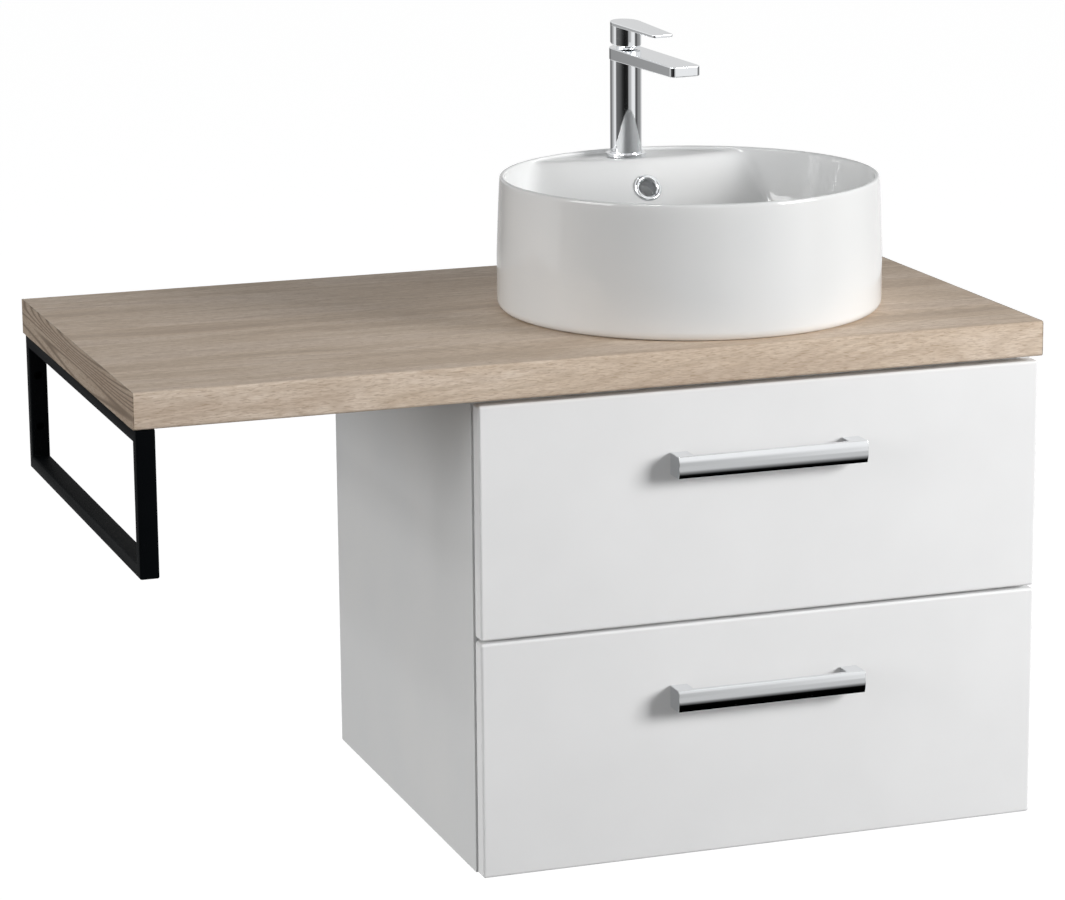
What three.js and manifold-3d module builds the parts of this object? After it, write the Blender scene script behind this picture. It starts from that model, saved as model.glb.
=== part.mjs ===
// Wall-hung vanity: a two-drawer cabinet under a long worktop that a steel loop bracket carries at its
// free end, with a round vessel basin, a single-lever mixer tap, a pop-up waste and a bottle trap.
// Millimetres, +Z up. The wall is the plane y = 0 and the object stands in front of it, at y < 0.
// The origin is the middle of the hanging rail's back face, so x = 0 is the cabinet's centre line.
import * as THREE from 'three';
import { mergeVertices } from 'three/addons/utils/BufferGeometryUtils.js';
import Module from 'manifold-3d';

const wasm = await Module();
wasm.setup();

// ---------------------------------------------------------------- driving sizes
const SEAT = 0.3; // gap kept between two pieces that rest on or in each other
const ROUND = 36; // facets round a small turned piece
const OVERSHOOT = 5; // how far a cutter runs past the face that it cuts

// worktop
const WORKTOP_LENGTH = 940;
const WORKTOP_DEPTH = 500;
const WORKTOP_THICKNESS = 36;
const WORKTOP_NOSE_RADIUS = 4;
const WASTE_CUTOUT_RADIUS = 30;
const HOSE_CUTOUT_RADIUS = 24;

// cabinet
const CABINET_WIDTH = 600;
const CABINET_HEIGHT = 485;
const PANEL = 16;
const RAIL_WIDTH = 80;
const FRONT_SETBACK = 7; // from the worktop's nose back to the drawer fronts
const FRONT_THICKNESS = 19;
const FRONT_STANDOFF = 2.5; // closed drawer front to the cabinet's front edges
const FRONT_SIDE_REVEAL = 1;
const FRONT_TOP_REVEAL = 5.5;
const FRONT_SPLIT = 3; // gap between the two drawer fronts
const FRONT_EDGE_RADIUS = 3;
const HANGER_THICKNESS = 14;
const HANGER_DEPTH = 58;
const HANGER_HEIGHT = 34;
const HANGER_HOOK = 8;

// drawers and their telescopic runners
const DRAWER_REAR_GAP = 18; // drawer's back to the rear rails
const DRAWER_BOARD = 12;
const DRAWER_BOTTOM = 8;
const DRAWER_SIDE_HEIGHT = 130;
const DRAWER_LIFT = 22; // drawer front's lower edge up to the box's lower edge, clear of the bottom panel
const RUNNER_HEIGHT = 45;
const RUNNER_THICKNESS = 12.7;
const RUNNER_SHEET = 1.2;
const RUNNER_BALL_GAP = 2;
const RECESS_WIDTH = 220; // notch of the upper drawer that clears the trap
const RECESS_WALL = 4;
const RECESS_CORNER_RADIUS = 30;
const RECESS_AHEAD_OF_WASTE = 64;

// handles
const HANDLE_LENGTH = 202;
const HANDLE_HEIGHT = 22.5;
const HANDLE_PROJECTION = 25;
const HANDLE_BAR = 7;
const HANDLE_POST = 18;
const HANDLE_CROWN = 1.6; // how far the bar's front bulges
const HANDLE_DROP = 73; // drawer front's upper edge down to the handle's middle

// loop bracket
const BRACKET_HEIGHT = 145;
const BRACKET_TUBE_WIDTH = 19;
const BRACKET_TUBE_DEPTH = 14;
const BRACKET_TUBE_WALL = 1.5;
const BRACKET_EDGE_RADIUS = 1.8;
const BRACKET_SIDE_INSET = 2.5;
const BRACKET_NOSE_INSET = 3;
const BRACKET_ACCESS_HOLE_RADIUS = 4.5;
const BRACKET_SCREW_HOLE_RADIUS = 2.8;
const BRACKET_HOLE_DROPS = [44, 99]; // below the worktop

// basin
const BASIN_FROM_WALL = 286.5;
const BASIN_HEIGHT = 136.5;
const BASIN_FOOT_RADIUS = 189;
const BASIN_BELLY_RADIUS = 198.5;
const BASIN_BELLY_TOP = 55;
const BASIN_RIM_RADIUS = 195;
const BASIN_FOOT_FILLET = 9.5;
const BASIN_RIM_WALL = 5;
const BASIN_WALL = 9;
const BASIN_FACETS = 60;
const BOWL_FLOOR = 26;
const BOWL_FLOOR_RISE = 4;
const BOWL_FLOOR_RADIUS = 108;
const BOWL_CORNER_TOP = 98;
const BOWL_CORNER_RADIUS = 186;
const DECK_DROP = 4; // tap deck below the rim
const DECK_FRONT = 137; // basin's axis back to the deck's front edge
const DECK_SWEEP_RADIUS = 448;
const DECK_WALL_SLOPE = 0.62;
const DECK_EDGE_RADIUS = 5;
const DECK_THICKNESS = 11;
const DECK_FACETS = 120;
const WASTE_BOSS_RADIUS = 42;

// overflow
const OVERFLOW_DROP = 33; // rim down to the middle of the overflow
const OVERFLOW_RING_RADIUS = 15;
const OVERFLOW_BORE_RADIUS = 9.5;
const OVERFLOW_SLEEVE_RADIUS = 11.5;
const OVERFLOW_SLEEVE_LENGTH = 7;
const OVERFLOW_LIP = 2.5;
const DUCT_WIDTH = 30;
const DUCT_DEPTH = 9;
const DUCT_WALL = 5;
const DUCT_FLOOR = 7;

// waste and trap
const WASTE_FLANGE_RADIUS = 33;
const WASTE_FLANGE = 2.7;
const WASTE_BODY_RADIUS = 19.5;
const WASTE_BORE_RADIUS = 16.5;
const WASTE_TAIL = 30; // waste body below the worktop
const WASTE_SEAL_RADIUS = 38;
const WASTE_SEAL = 3;
const WASTE_NUT_RADIUS = 33;
const WASTE_NUT = 10;
const PLUG_RADIUS = 30;
const PLUG_CROWN = 4.5;
const PLUG_STEM_RADIUS = 4.5;
const PLUG_STEM_LENGTH = 58;
const PLUG_NECK = 10;
const GUIDE_DEPTH = 46; // waste's top down to the stem guide
const GUIDE_HEIGHT = 6;
const GUIDE_WALL = 2.5;
const GUIDE_ARM = 2.4;
const WINDOW_WIDTH = 12;
const PIPE_RADIUS = 16;
const PIPE_WALL = 1.8;
const COUPLING_RADIUS = 26;
const COUPLING_HEIGHT = 20;
const BOTTLE_RADIUS = 31;
const BOTTLE_HEIGHT = 106;
const BOTTLE_WALL = 3;
const BOTTLE_CAP = 20;
const BOTTLE_SHOULDER = 14;
const BOTTLE_FOOT_RADIUS = 19;
const TRAP_NUT_WALL = 4;
const OUTLET_BELOW_RAIL = 35; // hanging rail's lower edge down to the outlet pipe's axis
const OUTLET_SOCKET_RADIUS = 21;
const OUTLET_SOCKET_REACH = 52;
const OUTLET_INSERTION = 14;
const ROSETTE_RADIUS = 30;
const ROSETTE_DEPTH = 9;

// tap
const TAP_BEHIND_BASIN_AXIS = 160;
const TAP_OFF_CENTRE = -9; // the tap stands a little left of the basin's middle
const TAP_TURN = 9; // degrees that the spout is turned towards the middle
const TAP_HOLE_RADIUS = 17.5;
const TAP_COLUMN_RADIUS = 16.8;
const TAP_RING_RADIUS = 21.3;
const TAP_RING_HEIGHT = 4.2;
const SPOUT_HALF_WIDTH = 17.6;
const SPOUT_TOP = 116.2; // above the deck, at the column's axis
const SPOUT_FALL = 0.054; // the spout's fall per millimetre of reach
const SPOUT_REACH = 127;
const SPOUT_ROOT_THICKNESS = 13;
const SPOUT_TIP_THICKNESS = 10.6;
const SPOUT_CORNER_RADIUS = 5;
const AERATOR_RADIUS = 10.4;
const AERATOR_INSET = 17;
const AERATOR_DEPTH = 6;
const CARTRIDGE_RADIUS = 12.7;
const CARTRIDGE_HEIGHT = 30;
const PIVOT_ABOVE_SPOUT = 11.5;
const DOME_RADIUS = 12.4;
const DOME_TOP = 5.5;
const DOME_NECK_RADIUS = 10;
const DOME_OPENING_RADIUS = 8.5;
const DOME_CLEARANCE = 0.7;
const LEVER_RADIUS = 16.6;
const LEVER_SKIRT = 6; // lever housing below the pivot
const LEVER_TAPER = 2.9; // how far the housing draws in at its foot, so its back can dip
const LEVER_TAPER_HEIGHT = 7;
const LEVER_TOP = 15.7; // lever's upper face above the pivot, at the axis
const LEVER_FALL = 0.075;
const LEVER_REACH = 80;
const LEVER_TIP_WIDTH = 24;
const LEVER_CORNER_RADIUS = 4;
const LEVER_BLADE = 4;
const LEVER_CEILING = 9.5;
const STEM_RADIUS = 3.5;
const INLET_RADIUS = 5;
const INLET_DEPTH = 14;
const INLET_SPACING = 13;
const INLET_AHEAD_OF_AXIS = 5;
const STUD_RADIUS = 4;
const STUD_LENGTH = 46;
const STUD_BEHIND_AXIS = 8;
const CLAMP_RADIUS = 18.5;
const CLAMP_THICKNESS = 3;
const CLAMP_MOUTH = 14;
const CLAMP_MOUTH_DEPTH = 4; // hose room behind the plate's open side, short of the axis
const STUD_NUT_RADIUS = 7;
const STUD_NUT_HEIGHT = 12;

// ---------------------------------------------------------------- places worked out from the sizes
const cabinetTop = RAIL_WIDTH / 2;
const cabinetBottom = cabinetTop - CABINET_HEIGHT;
const cabinetSide = CABINET_WIDTH / 2;
const innerSide = cabinetSide - PANEL;
const worktopUnder = cabinetTop + SEAT;
const worktopTop = worktopUnder + WORKTOP_THICKNESS;
const worktopRight = cabinetSide;
const worktopLeft = worktopRight - WORKTOP_LENGTH;
const frontFace = -WORKTOP_DEPTH + FRONT_SETBACK;
const frontBack = frontFace + FRONT_THICKNESS;
const cabinetFront = frontBack + FRONT_STANDOFF;
const splitHeight = (cabinetTop + cabinetBottom) / 2;
const basinBase = worktopTop + SEAT;
const deckTop = BASIN_HEIGHT - DECK_DROP;

// ---------------------------------------------------------------- making and placing solids
function solid(geometry) {
  const bare = geometry.clone();
  bare.deleteAttribute('normal');
  bare.deleteAttribute('uv');
  const merged = mergeVertices(bare, 1e-4);
  const corners = merged.index.array;
  const kept = [];
  for (let i = 0; i < corners.length; i += 3) {
    const [a, b, c] = corners.slice(i, i + 3);
    if (a !== b && b !== c && c !== a) kept.push(a, b, c);
  }
  const vertProperties = new Float32Array(merged.attributes.position.array);
  return new wasm.Manifold(new wasm.Mesh({ numProp: 3, vertProperties, triVerts: new Uint32Array(kept) }));
}

function surface(manifold) {
  const { vertProperties, triVerts } = manifold.getMesh();
  const geometry = new THREE.BufferGeometry();
  geometry.setAttribute('position', new THREE.BufferAttribute(vertProperties, 3));
  geometry.setIndex(new THREE.BufferAttribute(triVerts, 1));
  geometry.computeVertexNormals();
  return geometry;
}

const cut = (body, ...tools) => tools.reduce((rest, tool) => rest.subtract(tool), body);
const join = (body, ...pieces) => pieces.reduce((whole, piece) => whole.add(piece), body);

// A block from its low corner to its high corner.
function block([x0, y0, z0], [x1, y1, z1]) {
  const geometry = new THREE.BoxGeometry(x1 - x0, y1 - y0, z1 - z0);
  return geometry.translate((x0 + x1) / 2, (y0 + y1) / 2, (z0 + z1) / 2);
}

// A turned piece about the z axis. The outline lists [radius, height], upwards on the outside.
function turned(outline, facets = ROUND) {
  const points = outline.map(([radius, height]) => new THREE.Vector2(radius, height));
  return new THREE.LatheGeometry(points, facets).rotateX(Math.PI / 2);
}

// A turned ring: its outline closes on itself, anticlockwise with the radius to the right.
function turnedRing(outline, facets = ROUND) {
  return turned([...outline, outline[0]], facets);
}

function disc(radius, bottom, top, facets = ROUND) {
  const geometry = new THREE.CylinderGeometry(radius, radius, top - bottom, facets);
  return geometry.rotateX(Math.PI / 2).translate(0, 0, (bottom + top) / 2);
}

function polygon(points) {
  return new THREE.Shape(points.map(([x, y]) => new THREE.Vector2(x, y)));
}

// A shape drawn in x and y, raised from bottom to top.
function raised(shape, bottom, top, curveSegments = 8) {
  const settings = { depth: top - bottom, bevelEnabled: false, curveSegments };
  const geometry = new THREE.ExtrudeGeometry(shape, settings);
  return geometry.translate(0, 0, bottom);
}

// A shape drawn in y and z, drawn out along x.
function drawnAlongX(shape, left, right, curveSegments = 8) {
  const geometry = raised(shape, left, right, curveSegments);
  const turn = new THREE.Matrix4().set(0, 0, 1, 0, 1, 0, 0, 0, 0, 1, 0, 0, 0, 0, 0, 1);
  return geometry.applyMatrix4(turn);
}

// A shape drawn in x and z, drawn out along y.
function drawnAlongY(shape, front, back, curveSegments = 8) {
  const geometry = raised(shape, -back, -front, curveSegments);
  return geometry.rotateX(Math.PI / 2);
}

function piece(name, body, finish, parent) {
  const geometry = body instanceof THREE.BufferGeometry ? body : surface(body);
  const mesh = new THREE.Mesh(geometry, new THREE.MeshStandardMaterial(finish));
  mesh.name = name;
  parent.add(mesh);
  return mesh;
}

// ---------------------------------------------------------------- finishes
const whiteBoard = { color: 0xe9e9e8, roughness: 0.55, metalness: 0 };
const glossLacquer = { color: 0xf4f4f4, roughness: 0.18, metalness: 0 };
const drawerBoard = { color: 0xd9d7d2, roughness: 0.6, metalness: 0 };
const paleOak = { color: 0xcbb89e, roughness: 0.55, metalness: 0 };
const zincSteel = { color: 0xb9bcbf, roughness: 0.4, metalness: 0.9 };
const blackSteel = { color: 0x141618, roughness: 0.45, metalness: 0.3 };
const chrome = { color: 0xdfe2e5, roughness: 0.08, metalness: 1 };
const glaze = { color: 0xf5f5f4, roughness: 0.08, metalness: 0 };
const whitePlastic = { color: 0xececea, roughness: 0.4, metalness: 0 };
const greyPlastic = { color: 0x8f9396, roughness: 0.5, metalness: 0 };
const blackRubber = { color: 0x1d1d1e, roughness: 0.8, metalness: 0 };
const brass = { color: 0xb79a55, roughness: 0.35, metalness: 0.9 };

const vanity = new THREE.Group();

// ---------------------------------------------------------------- cabinet
// Two sides stand the full height. The bottom and the rails span between them, and the back stays
// open round the plumbing. Two hangers behind the top corners hook over the wall plates.
function addCabinet() {
  const cabinet = new THREE.Group();
  vanity.add(cabinet);
  const span = innerSide - SEAT;
  for (const [name, side] of [['side_panel_left', -1], ['side_panel_right', 1]]) {
    const inner = side * innerSide;
    const outer = side * cabinetSide;
    const low = [Math.min(inner, outer), cabinetFront, cabinetBottom];
    piece(name, block(low, [Math.max(inner, outer), 0, cabinetTop]), whiteBoard, cabinet);
  }
  const bottomTop = cabinetBottom + PANEL;
  const bottom = block([-span, cabinetFront, cabinetBottom], [span, 0, bottomTop]);
  piece('bottom_panel', bottom, whiteBoard, cabinet);
  const railBack = cabinetFront + RAIL_WIDTH;
  const frontRail = block([-span, cabinetFront, cabinetTop - PANEL], [span, railBack, cabinetTop]);
  piece('front_rail', frontRail, whiteBoard, cabinet);
  piece('hanging_rail', hangingRail(span), whiteBoard, cabinet);
  const lowRailFoot = bottomTop + SEAT;
  const lowRail = block([-span, -PANEL, lowRailFoot], [span, 0, lowRailFoot + RAIL_WIDTH]);
  piece('rear_rail_lower', lowRail, whiteBoard, cabinet);
  for (const [name, side] of [['hanger_left', -1], ['hanger_right', 1]]) {
    const hanger = piece(name, hangerBody(), zincSteel, cabinet);
    hanger.position.x = side * (innerSide - SEAT - HANGER_THICKNESS / 2);
  }
}

// The rail's upper corners are notched for the hangers' hooks.
function hangingRail(span) {
  const notch = HANGER_THICKNESS + 2 * SEAT;
  const notchFoot = cabinetTop - HANGER_HEIGHT - SEAT;
  const outline = [
    [-span, -cabinetTop], [span, -cabinetTop], [span, notchFoot], [span - notch, notchFoot],
    [span - notch, cabinetTop], [notch - span, cabinetTop], [notch - span, notchFoot], [-span, notchFoot],
  ];
  return drawnAlongY(polygon(outline), -PANEL, 0);
}

// Side view of a hanger: a flat housing with a hook that reaches back and turns down at the wall.
function hangerBody() {
  const top = cabinetTop - SEAT;
  const foot = top - HANGER_HEIGHT + 2 * SEAT;
  const front = -PANEL - HANGER_DEPTH;
  const hookTop = top - HANGER_HOOK / 2;
  const hookUnder = hookTop - HANGER_HOOK;
  const outline = [
    [front, foot + HANGER_HOOK], [front + HANGER_HOOK, foot], [-PANEL, foot], [-PANEL, hookUnder],
    [-HANGER_HOOK, hookUnder], [-HANGER_HOOK, hookUnder - HANGER_HOOK], [-SEAT, hookUnder - HANGER_HOOK],
    [-SEAT, hookTop], [-PANEL, hookTop], [-PANEL, top], [front, top],
  ];
  return drawnAlongX(polygon(outline), -HANGER_THICKNESS / 2, HANGER_THICKNESS / 2);
}

// ---------------------------------------------------------------- worktop
// Side view of the worktop: a slab with its front edges rounded, as the laminate is formed over them.
function worktopSection() {
  const nose = WORKTOP_NOSE_RADIUS;
  const front = -WORKTOP_DEPTH;
  const shape = new THREE.Shape();
  shape.moveTo(0, worktopUnder);
  shape.lineTo(0, worktopTop);
  shape.lineTo(front + nose, worktopTop);
  shape.absarc(front + nose, worktopTop - nose, nose, Math.PI / 2, Math.PI, false);
  shape.absarc(front + nose, worktopUnder + nose, nose, Math.PI, 1.5 * Math.PI, false);
  return shape;
}

function addWorktop() {
  const slab = solid(drawnAlongX(worktopSection(), worktopLeft, worktopRight, 4));
  const low = worktopUnder - OVERSHOOT;
  const high = worktopTop + OVERSHOOT;
  const wasteHole = disc(WASTE_CUTOUT_RADIUS, low, high).translate(0, -BASIN_FROM_WALL, 0);
  const tapAxis = TAP_BEHIND_BASIN_AXIS - BASIN_FROM_WALL;
  const hoseHole = disc(HOSE_CUTOUT_RADIUS, low, high).translate(TAP_OFF_CENTRE, tapAxis, 0);
  piece('worktop', cut(slab, solid(wasteHole), solid(hoseHole)), paleOak, vanity);
}

// ---------------------------------------------------------------- loop bracket
// A rectangle drawn in y and z, anticlockwise.
function rectangle(y0, z0, y1, z1) {
  return [[y0, z0], [y1, z0], [y1, z1], [y0, z1]];
}

// Four steel tubes welded into an upright loop: the outline and the opening share one bevel, which
// rounds the tube's edges. The rear upright has an access hole in front of each wall screw's hole.
function addBracket() {
  const top = worktopUnder - SEAT;
  const bottom = top - BRACKET_HEIGHT;
  const front = -WORKTOP_DEPTH + BRACKET_NOSE_INSET;
  const edge = BRACKET_EDGE_RADIUS;
  const tube = BRACKET_TUBE_DEPTH;
  const half = BRACKET_TUBE_WIDTH / 2;
  const shape = polygon(rectangle(front + edge, bottom + edge, -edge, top - edge));
  const inside = rectangle(front + tube - edge, bottom + tube - edge, edge - tube, top - tube + edge);
  shape.holes.push(polygon(inside));
  const bevel = { bevelSize: edge, bevelThickness: edge, bevelSegments: 2 };
  const settings = { depth: BRACKET_TUBE_WIDTH - 2 * edge, bevelEnabled: true, ...bevel };
  const loop = new THREE.ExtrudeGeometry(shape, settings).translate(0, 0, edge - half);
  loop.applyMatrix4(new THREE.Matrix4().set(0, 0, 1, 0, 1, 0, 0, 0, 0, 1, 0, 0, 0, 0, 0, 1));

  const wall = BRACKET_TUBE_WALL;
  const boreShape = polygon(rectangle(front + wall, bottom + wall, -wall, top - wall));
  const boreInside = rectangle(front + tube - wall, bottom + tube - wall, wall - tube, top - tube + wall);
  boreShape.holes.push(polygon(boreInside));
  const bore = drawnAlongX(boreShape, wall - half, half - wall);

  const holes = [];
  for (const drop of BRACKET_HOLE_DROPS) {
    const access = disc(BRACKET_ACCESS_HOLE_RADIUS, -OVERSHOOT, OVERSHOOT, 20).rotateX(Math.PI / 2);
    holes.push(solid(access.translate(0, -tube, top - drop)));
    const screw = disc(BRACKET_SCREW_HOLE_RADIUS, -OVERSHOOT, OVERSHOOT, 20).rotateX(Math.PI / 2);
    holes.push(solid(screw.translate(0, 0, top - drop)));
  }
  const bracket = piece('wall_bracket', cut(solid(loop), solid(bore), ...holes), blackSteel, vanity);
  bracket.position.x = worktopLeft + BRACKET_SIDE_INSET + half;
}

// ---------------------------------------------------------------- runners
// Front view of a runner member: a channel whose web stands at x = 0 and whose flanges point to +x.
function channel(height, depth) {
  const sheet = RUNNER_SHEET;
  const half = height / 2;
  return polygon([
    [0, -half], [depth, -half], [depth, sheet - half], [sheet, sheet - half],
    [sheet, half - sheet], [depth, half - sheet], [depth, half], [0, half],
  ]);
}

// Three nested members on each side: the outer one on the cabinet, the inner one on the drawer's
// side, and the middle one between them, which travels half as far as the drawer.
function addRunners(drawerName, groups, height) {
  const step = 2 * (RUNNER_BALL_GAP + RUNNER_SHEET);
  const middleOffset = RUNNER_SHEET + SEAT;
  const innerDepth = RUNNER_THICKNESS - middleOffset - RUNNER_SHEET - SEAT;
  const outer = channel(RUNNER_HEIGHT, RUNNER_THICKNESS - 2);
  const between = channel(RUNNER_HEIGHT - step, RUNNER_THICKNESS - 3);
  const inner = channel(RUNNER_HEIGHT - 2 * step, innerDepth);
  const members = [
    ['cabinet_member', groups.fixed, outer, SEAT, 1],
    ['middle_member', groups.middle, between, SEAT + middleOffset, 1],
    ['drawer_member', groups.drawer, inner, SEAT + RUNNER_THICKNESS, -1],
  ];
  for (const [sideName, side] of [['left', 1], ['right', -1]]) {
    for (const [memberName, group, shape, offset, opening] of members) {
      const member = drawnAlongY(shape, cabinetFront, boxBack);
      if (side * opening < 0) member.rotateZ(Math.PI).translate(0, cabinetFront + boxBack, 0);
      member.translate(side * (offset - innerSide), 0, height);
      piece(`${drawerName}_${memberName}_${sideName}`, member, zincSteel, group);
    }
  }
}

// ---------------------------------------------------------------- drawers
const boxSide = innerSide - 2 * SEAT - RUNNER_THICKNESS; // outside of the drawer box
const boxInner = boxSide - DRAWER_BOARD;
const boxFront = frontBack + SEAT;
const boxBack = -PANEL - DRAWER_REAR_GAP;

// A drawer front: its face's edges are rounded, its back is flat.
function drawerFront(bottom, top) {
  const edge = FRONT_EDGE_RADIUS;
  const half = cabinetSide - FRONT_SIDE_REVEAL;
  const shape = polygon(rectangle(edge - half, bottom + edge, half - edge, top - edge));
  const bevel = { bevelSize: edge, bevelThickness: edge, bevelSegments: 3 };
  const slab = new THREE.ExtrudeGeometry(shape, { depth: FRONT_THICKNESS, bevelEnabled: true, ...bevel });
  slab.rotateX(Math.PI / 2).translate(0, frontFace + edge + FRONT_THICKNESS, 0);
  const behind = block([-cabinetSide, frontBack, bottom - edge], [cabinetSide, 0, top + edge]);
  return solid(slab).subtract(solid(behind));
}

// A bar handle with a post at each end: the plan is a long U, the side view has a crowned front.
function handle() {
  const half = HANDLE_LENGTH / 2;
  const postInner = half - HANDLE_POST;
  const barBack = HANDLE_BAR - HANDLE_PROJECTION;
  const plan = polygon([
    [-half, -HANDLE_PROJECTION], [half, -HANDLE_PROJECTION], [half, 0], [postInner, 0],
    [postInner, barBack], [-postInner, barBack], [-postInner, 0], [-half, 0],
  ]);
  const reach = HANDLE_HEIGHT / 2;
  const side = new THREE.Shape();
  side.moveTo(OVERSHOOT, -reach);
  side.lineTo(OVERSHOOT, reach);
  side.lineTo(HANDLE_CROWN - HANDLE_PROJECTION, reach);
  side.quadraticCurveTo(-HANDLE_PROJECTION - HANDLE_CROWN, 0, HANDLE_CROWN - HANDLE_PROJECTION, -reach);
  const uBar = solid(raised(plan, -HANDLE_HEIGHT, HANDLE_HEIGHT));
  return uBar.intersect(solid(drawnAlongX(side, -HANDLE_LENGTH, HANDLE_LENGTH, 8)));
}

function addDrawer(name, bottom, top, recessed) {
  const drawer = new THREE.Group();
  const middle = new THREE.Group();
  vanity.add(drawer, middle);
  piece(`${name}_front`, drawerFront(bottom, top), glossLacquer, drawer);
  const grip = piece(`${name}_handle`, handle(), chrome, drawer);
  grip.position.set(0, frontFace - SEAT, top - HANDLE_DROP);

  const boxBottom = bottom + DRAWER_LIFT;
  const boxTop = boxBottom + DRAWER_SIDE_HEIGHT;
  const sideBlock = (x0, x1) => block([x0, boxFront, boxBottom], [x1, boxBack, boxTop]);
  piece(`${name}_side_left`, sideBlock(-boxSide, -boxInner), drawerBoard, drawer);
  piece(`${name}_side_right`, sideBlock(boxInner, boxSide), drawerBoard, drawer);
  const inner = boxInner - SEAT;
  const backFront = boxBack - DRAWER_BOARD;
  const floorBack = backFront - SEAT;
  const floor = block([-inner, boxFront, boxBottom], [inner, floorBack, boxBottom + DRAWER_BOTTOM]);
  const recess = RECESS_WIDTH / 2;
  if (recessed) {
    const around = solid(raised(recessOutline(recess + SEAT, OVERSHOOT), boxBottom - OVERSHOOT, boxTop));
    piece(`${name}_bottom`, solid(floor).subtract(around), drawerBoard, drawer);
    const wall = raised(recessWall(), boxBottom, boxTop, 6);
    piece(`${name}_trap_recess`, wall, greyPlastic, drawer);
    const backBlock = (x0, x1) => block([x0, backFront, boxBottom], [x1, boxBack, boxTop]);
    piece(`${name}_back_left`, backBlock(-inner, -recess - SEAT), drawerBoard, drawer);
    piece(`${name}_back_right`, backBlock(recess + SEAT, inner), drawerBoard, drawer);
  } else {
    piece(`${name}_bottom`, floor, drawerBoard, drawer);
    const back = block([-inner, backFront, boxBottom], [inner, boxBack, boxTop]);
    piece(`${name}_back`, back, drawerBoard, drawer);
  }
  const runnerHeight = boxBottom + DRAWER_SIDE_HEIGHT / 2;
  addRunners(name, { fixed: vanity, middle, drawer }, runnerHeight);
}

// Plan of the notch round the trap, open at the drawer's back.
function recessOutline(half, past) {
  const front = -BASIN_FROM_WALL - RECESS_AHEAD_OF_WASTE - (half - RECESS_WIDTH / 2);
  const radius = RECESS_CORNER_RADIUS + half - RECESS_WIDTH / 2;
  const shape = new THREE.Shape();
  shape.moveTo(half, boxBack + past);
  shape.lineTo(-half, boxBack + past);
  shape.lineTo(-half, front + radius);
  shape.absarc(radius - half, front + radius, radius, Math.PI, 1.5 * Math.PI, false);
  shape.absarc(half - radius, front + radius, radius, 1.5 * Math.PI, 2 * Math.PI, false);
  return shape;
}

// Plan of the moulded wall round that notch: down the outside, back along the inside.
function recessWall() {
  const outer = recessOutline(RECESS_WIDTH / 2, 0).getPoints(6);
  const inner = recessOutline(RECESS_WIDTH / 2 - RECESS_WALL, 0).getPoints(6);
  return new THREE.Shape([...outer.slice(1), outer[0], inner[0], ...inner.slice(1).reverse()]);
}

// ---------------------------------------------------------------- basin
// Outside of the basin, revolved: a filleted foot, an upright belly and a wall that draws in to the rim.
function basinOutside(inset, top) {
  const foot = BASIN_FOOT_FILLET;
  const arc = [];
  for (let i = 0; i <= 4; i += 1) {
    const angle = (i / 4) * (Math.PI / 2);
    const radius = BASIN_FOOT_RADIUS - inset + foot * Math.sin(angle);
    arc.push([radius, inset > 0 ? -OVERSHOOT + (foot + OVERSHOOT) * (i / 4) : foot * (1 - Math.cos(angle))]);
  }
  const rim = BASIN_RIM_RADIUS - inset;
  const profile = [[0, arc[0][1]], ...arc, [BASIN_BELLY_RADIUS - inset, BASIN_BELLY_TOP]];
  if (inset > 0) return solid(turned([...profile, [rim, top], [0, top]], BASIN_FACETS));
  const lip = BASIN_RIM_WALL / 2;
  return solid(turned([...profile, [rim, top - lip], [rim - 0.3 * lip, top - 0.3 * lip], [rim - lip, top],
    [0, top]], BASIN_FACETS));
}

// The room inside the bowl, grown outwards by a wall's thickness: a revolved bowl less the tap deck.
function bowlRoom(wall) {
  const floor = BOWL_FLOOR - wall;
  const rimInner = BASIN_RIM_RADIUS - BASIN_RIM_WALL + wall;
  const points = [[0, floor], [BOWL_FLOOR_RADIUS, floor + BOWL_FLOOR_RISE]];
  const steps = 7;
  const width = BOWL_CORNER_RADIUS - BOWL_FLOOR_RADIUS + wall;
  const height = BOWL_CORNER_TOP - floor - BOWL_FLOOR_RISE;
  for (let i = 1; i <= steps; i += 1) {
    const angle = (i / steps) * (Math.PI / 2);
    const radius = BOWL_FLOOR_RADIUS + width * Math.sin(angle);
    points.push([radius, floor + BOWL_FLOOR_RISE + height * (1 - Math.cos(angle))]);
  }
  const top = BASIN_HEIGHT + OVERSHOOT;
  points.push([rimInner, BASIN_HEIGHT - BASIN_RIM_WALL], [rimInner, top], [0, top]);
  return solid(turned(points, BASIN_FACETS)).subtract(deckBlock(wall));
}

// The tap deck as a block: its front is a wide sloping cone, convex towards the bowl, with a soft edge.
function deckBlock(wall) {
  const centre = DECK_FRONT + DECK_SWEEP_RADIUS;
  const radiusAt = (z) => DECK_SWEEP_RADIUS - wall + (deckTop - z) * DECK_WALL_SLOPE;
  const edge = DECK_EDGE_RADIUS;
  const top = deckTop - wall * (DECK_THICKNESS / BASIN_WALL);
  const outline = [
    [0, -OVERSHOOT], [radiusAt(-OVERSHOOT), -OVERSHOOT], [radiusAt(top - edge), top - edge],
    [radiusAt(top - edge) - 0.25 * edge, top - 0.35 * edge], [radiusAt(top) - 0.7 * edge, top], [0, top],
  ];
  return solid(turned(outline, DECK_FACETS).translate(0, centre, 0));
}

// Where the overflow's axis meets the deck's front wall, and how far that axis leans back from level.
const overflowHeight = BASIN_HEIGHT - OVERFLOW_DROP;
const overflowDepth = DECK_FRONT - (deckTop - overflowHeight) * DECK_WALL_SLOPE;
const overflowTilt = Math.atan(DECK_WALL_SLOPE);

// Turns a piece made about +z so that it points out of the deck's front wall, into the bowl.
function faceOverflow(geometry) {
  return geometry.rotateX(Math.PI / 2 - overflowTilt).translate(0, overflowDepth, overflowHeight);
}

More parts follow.
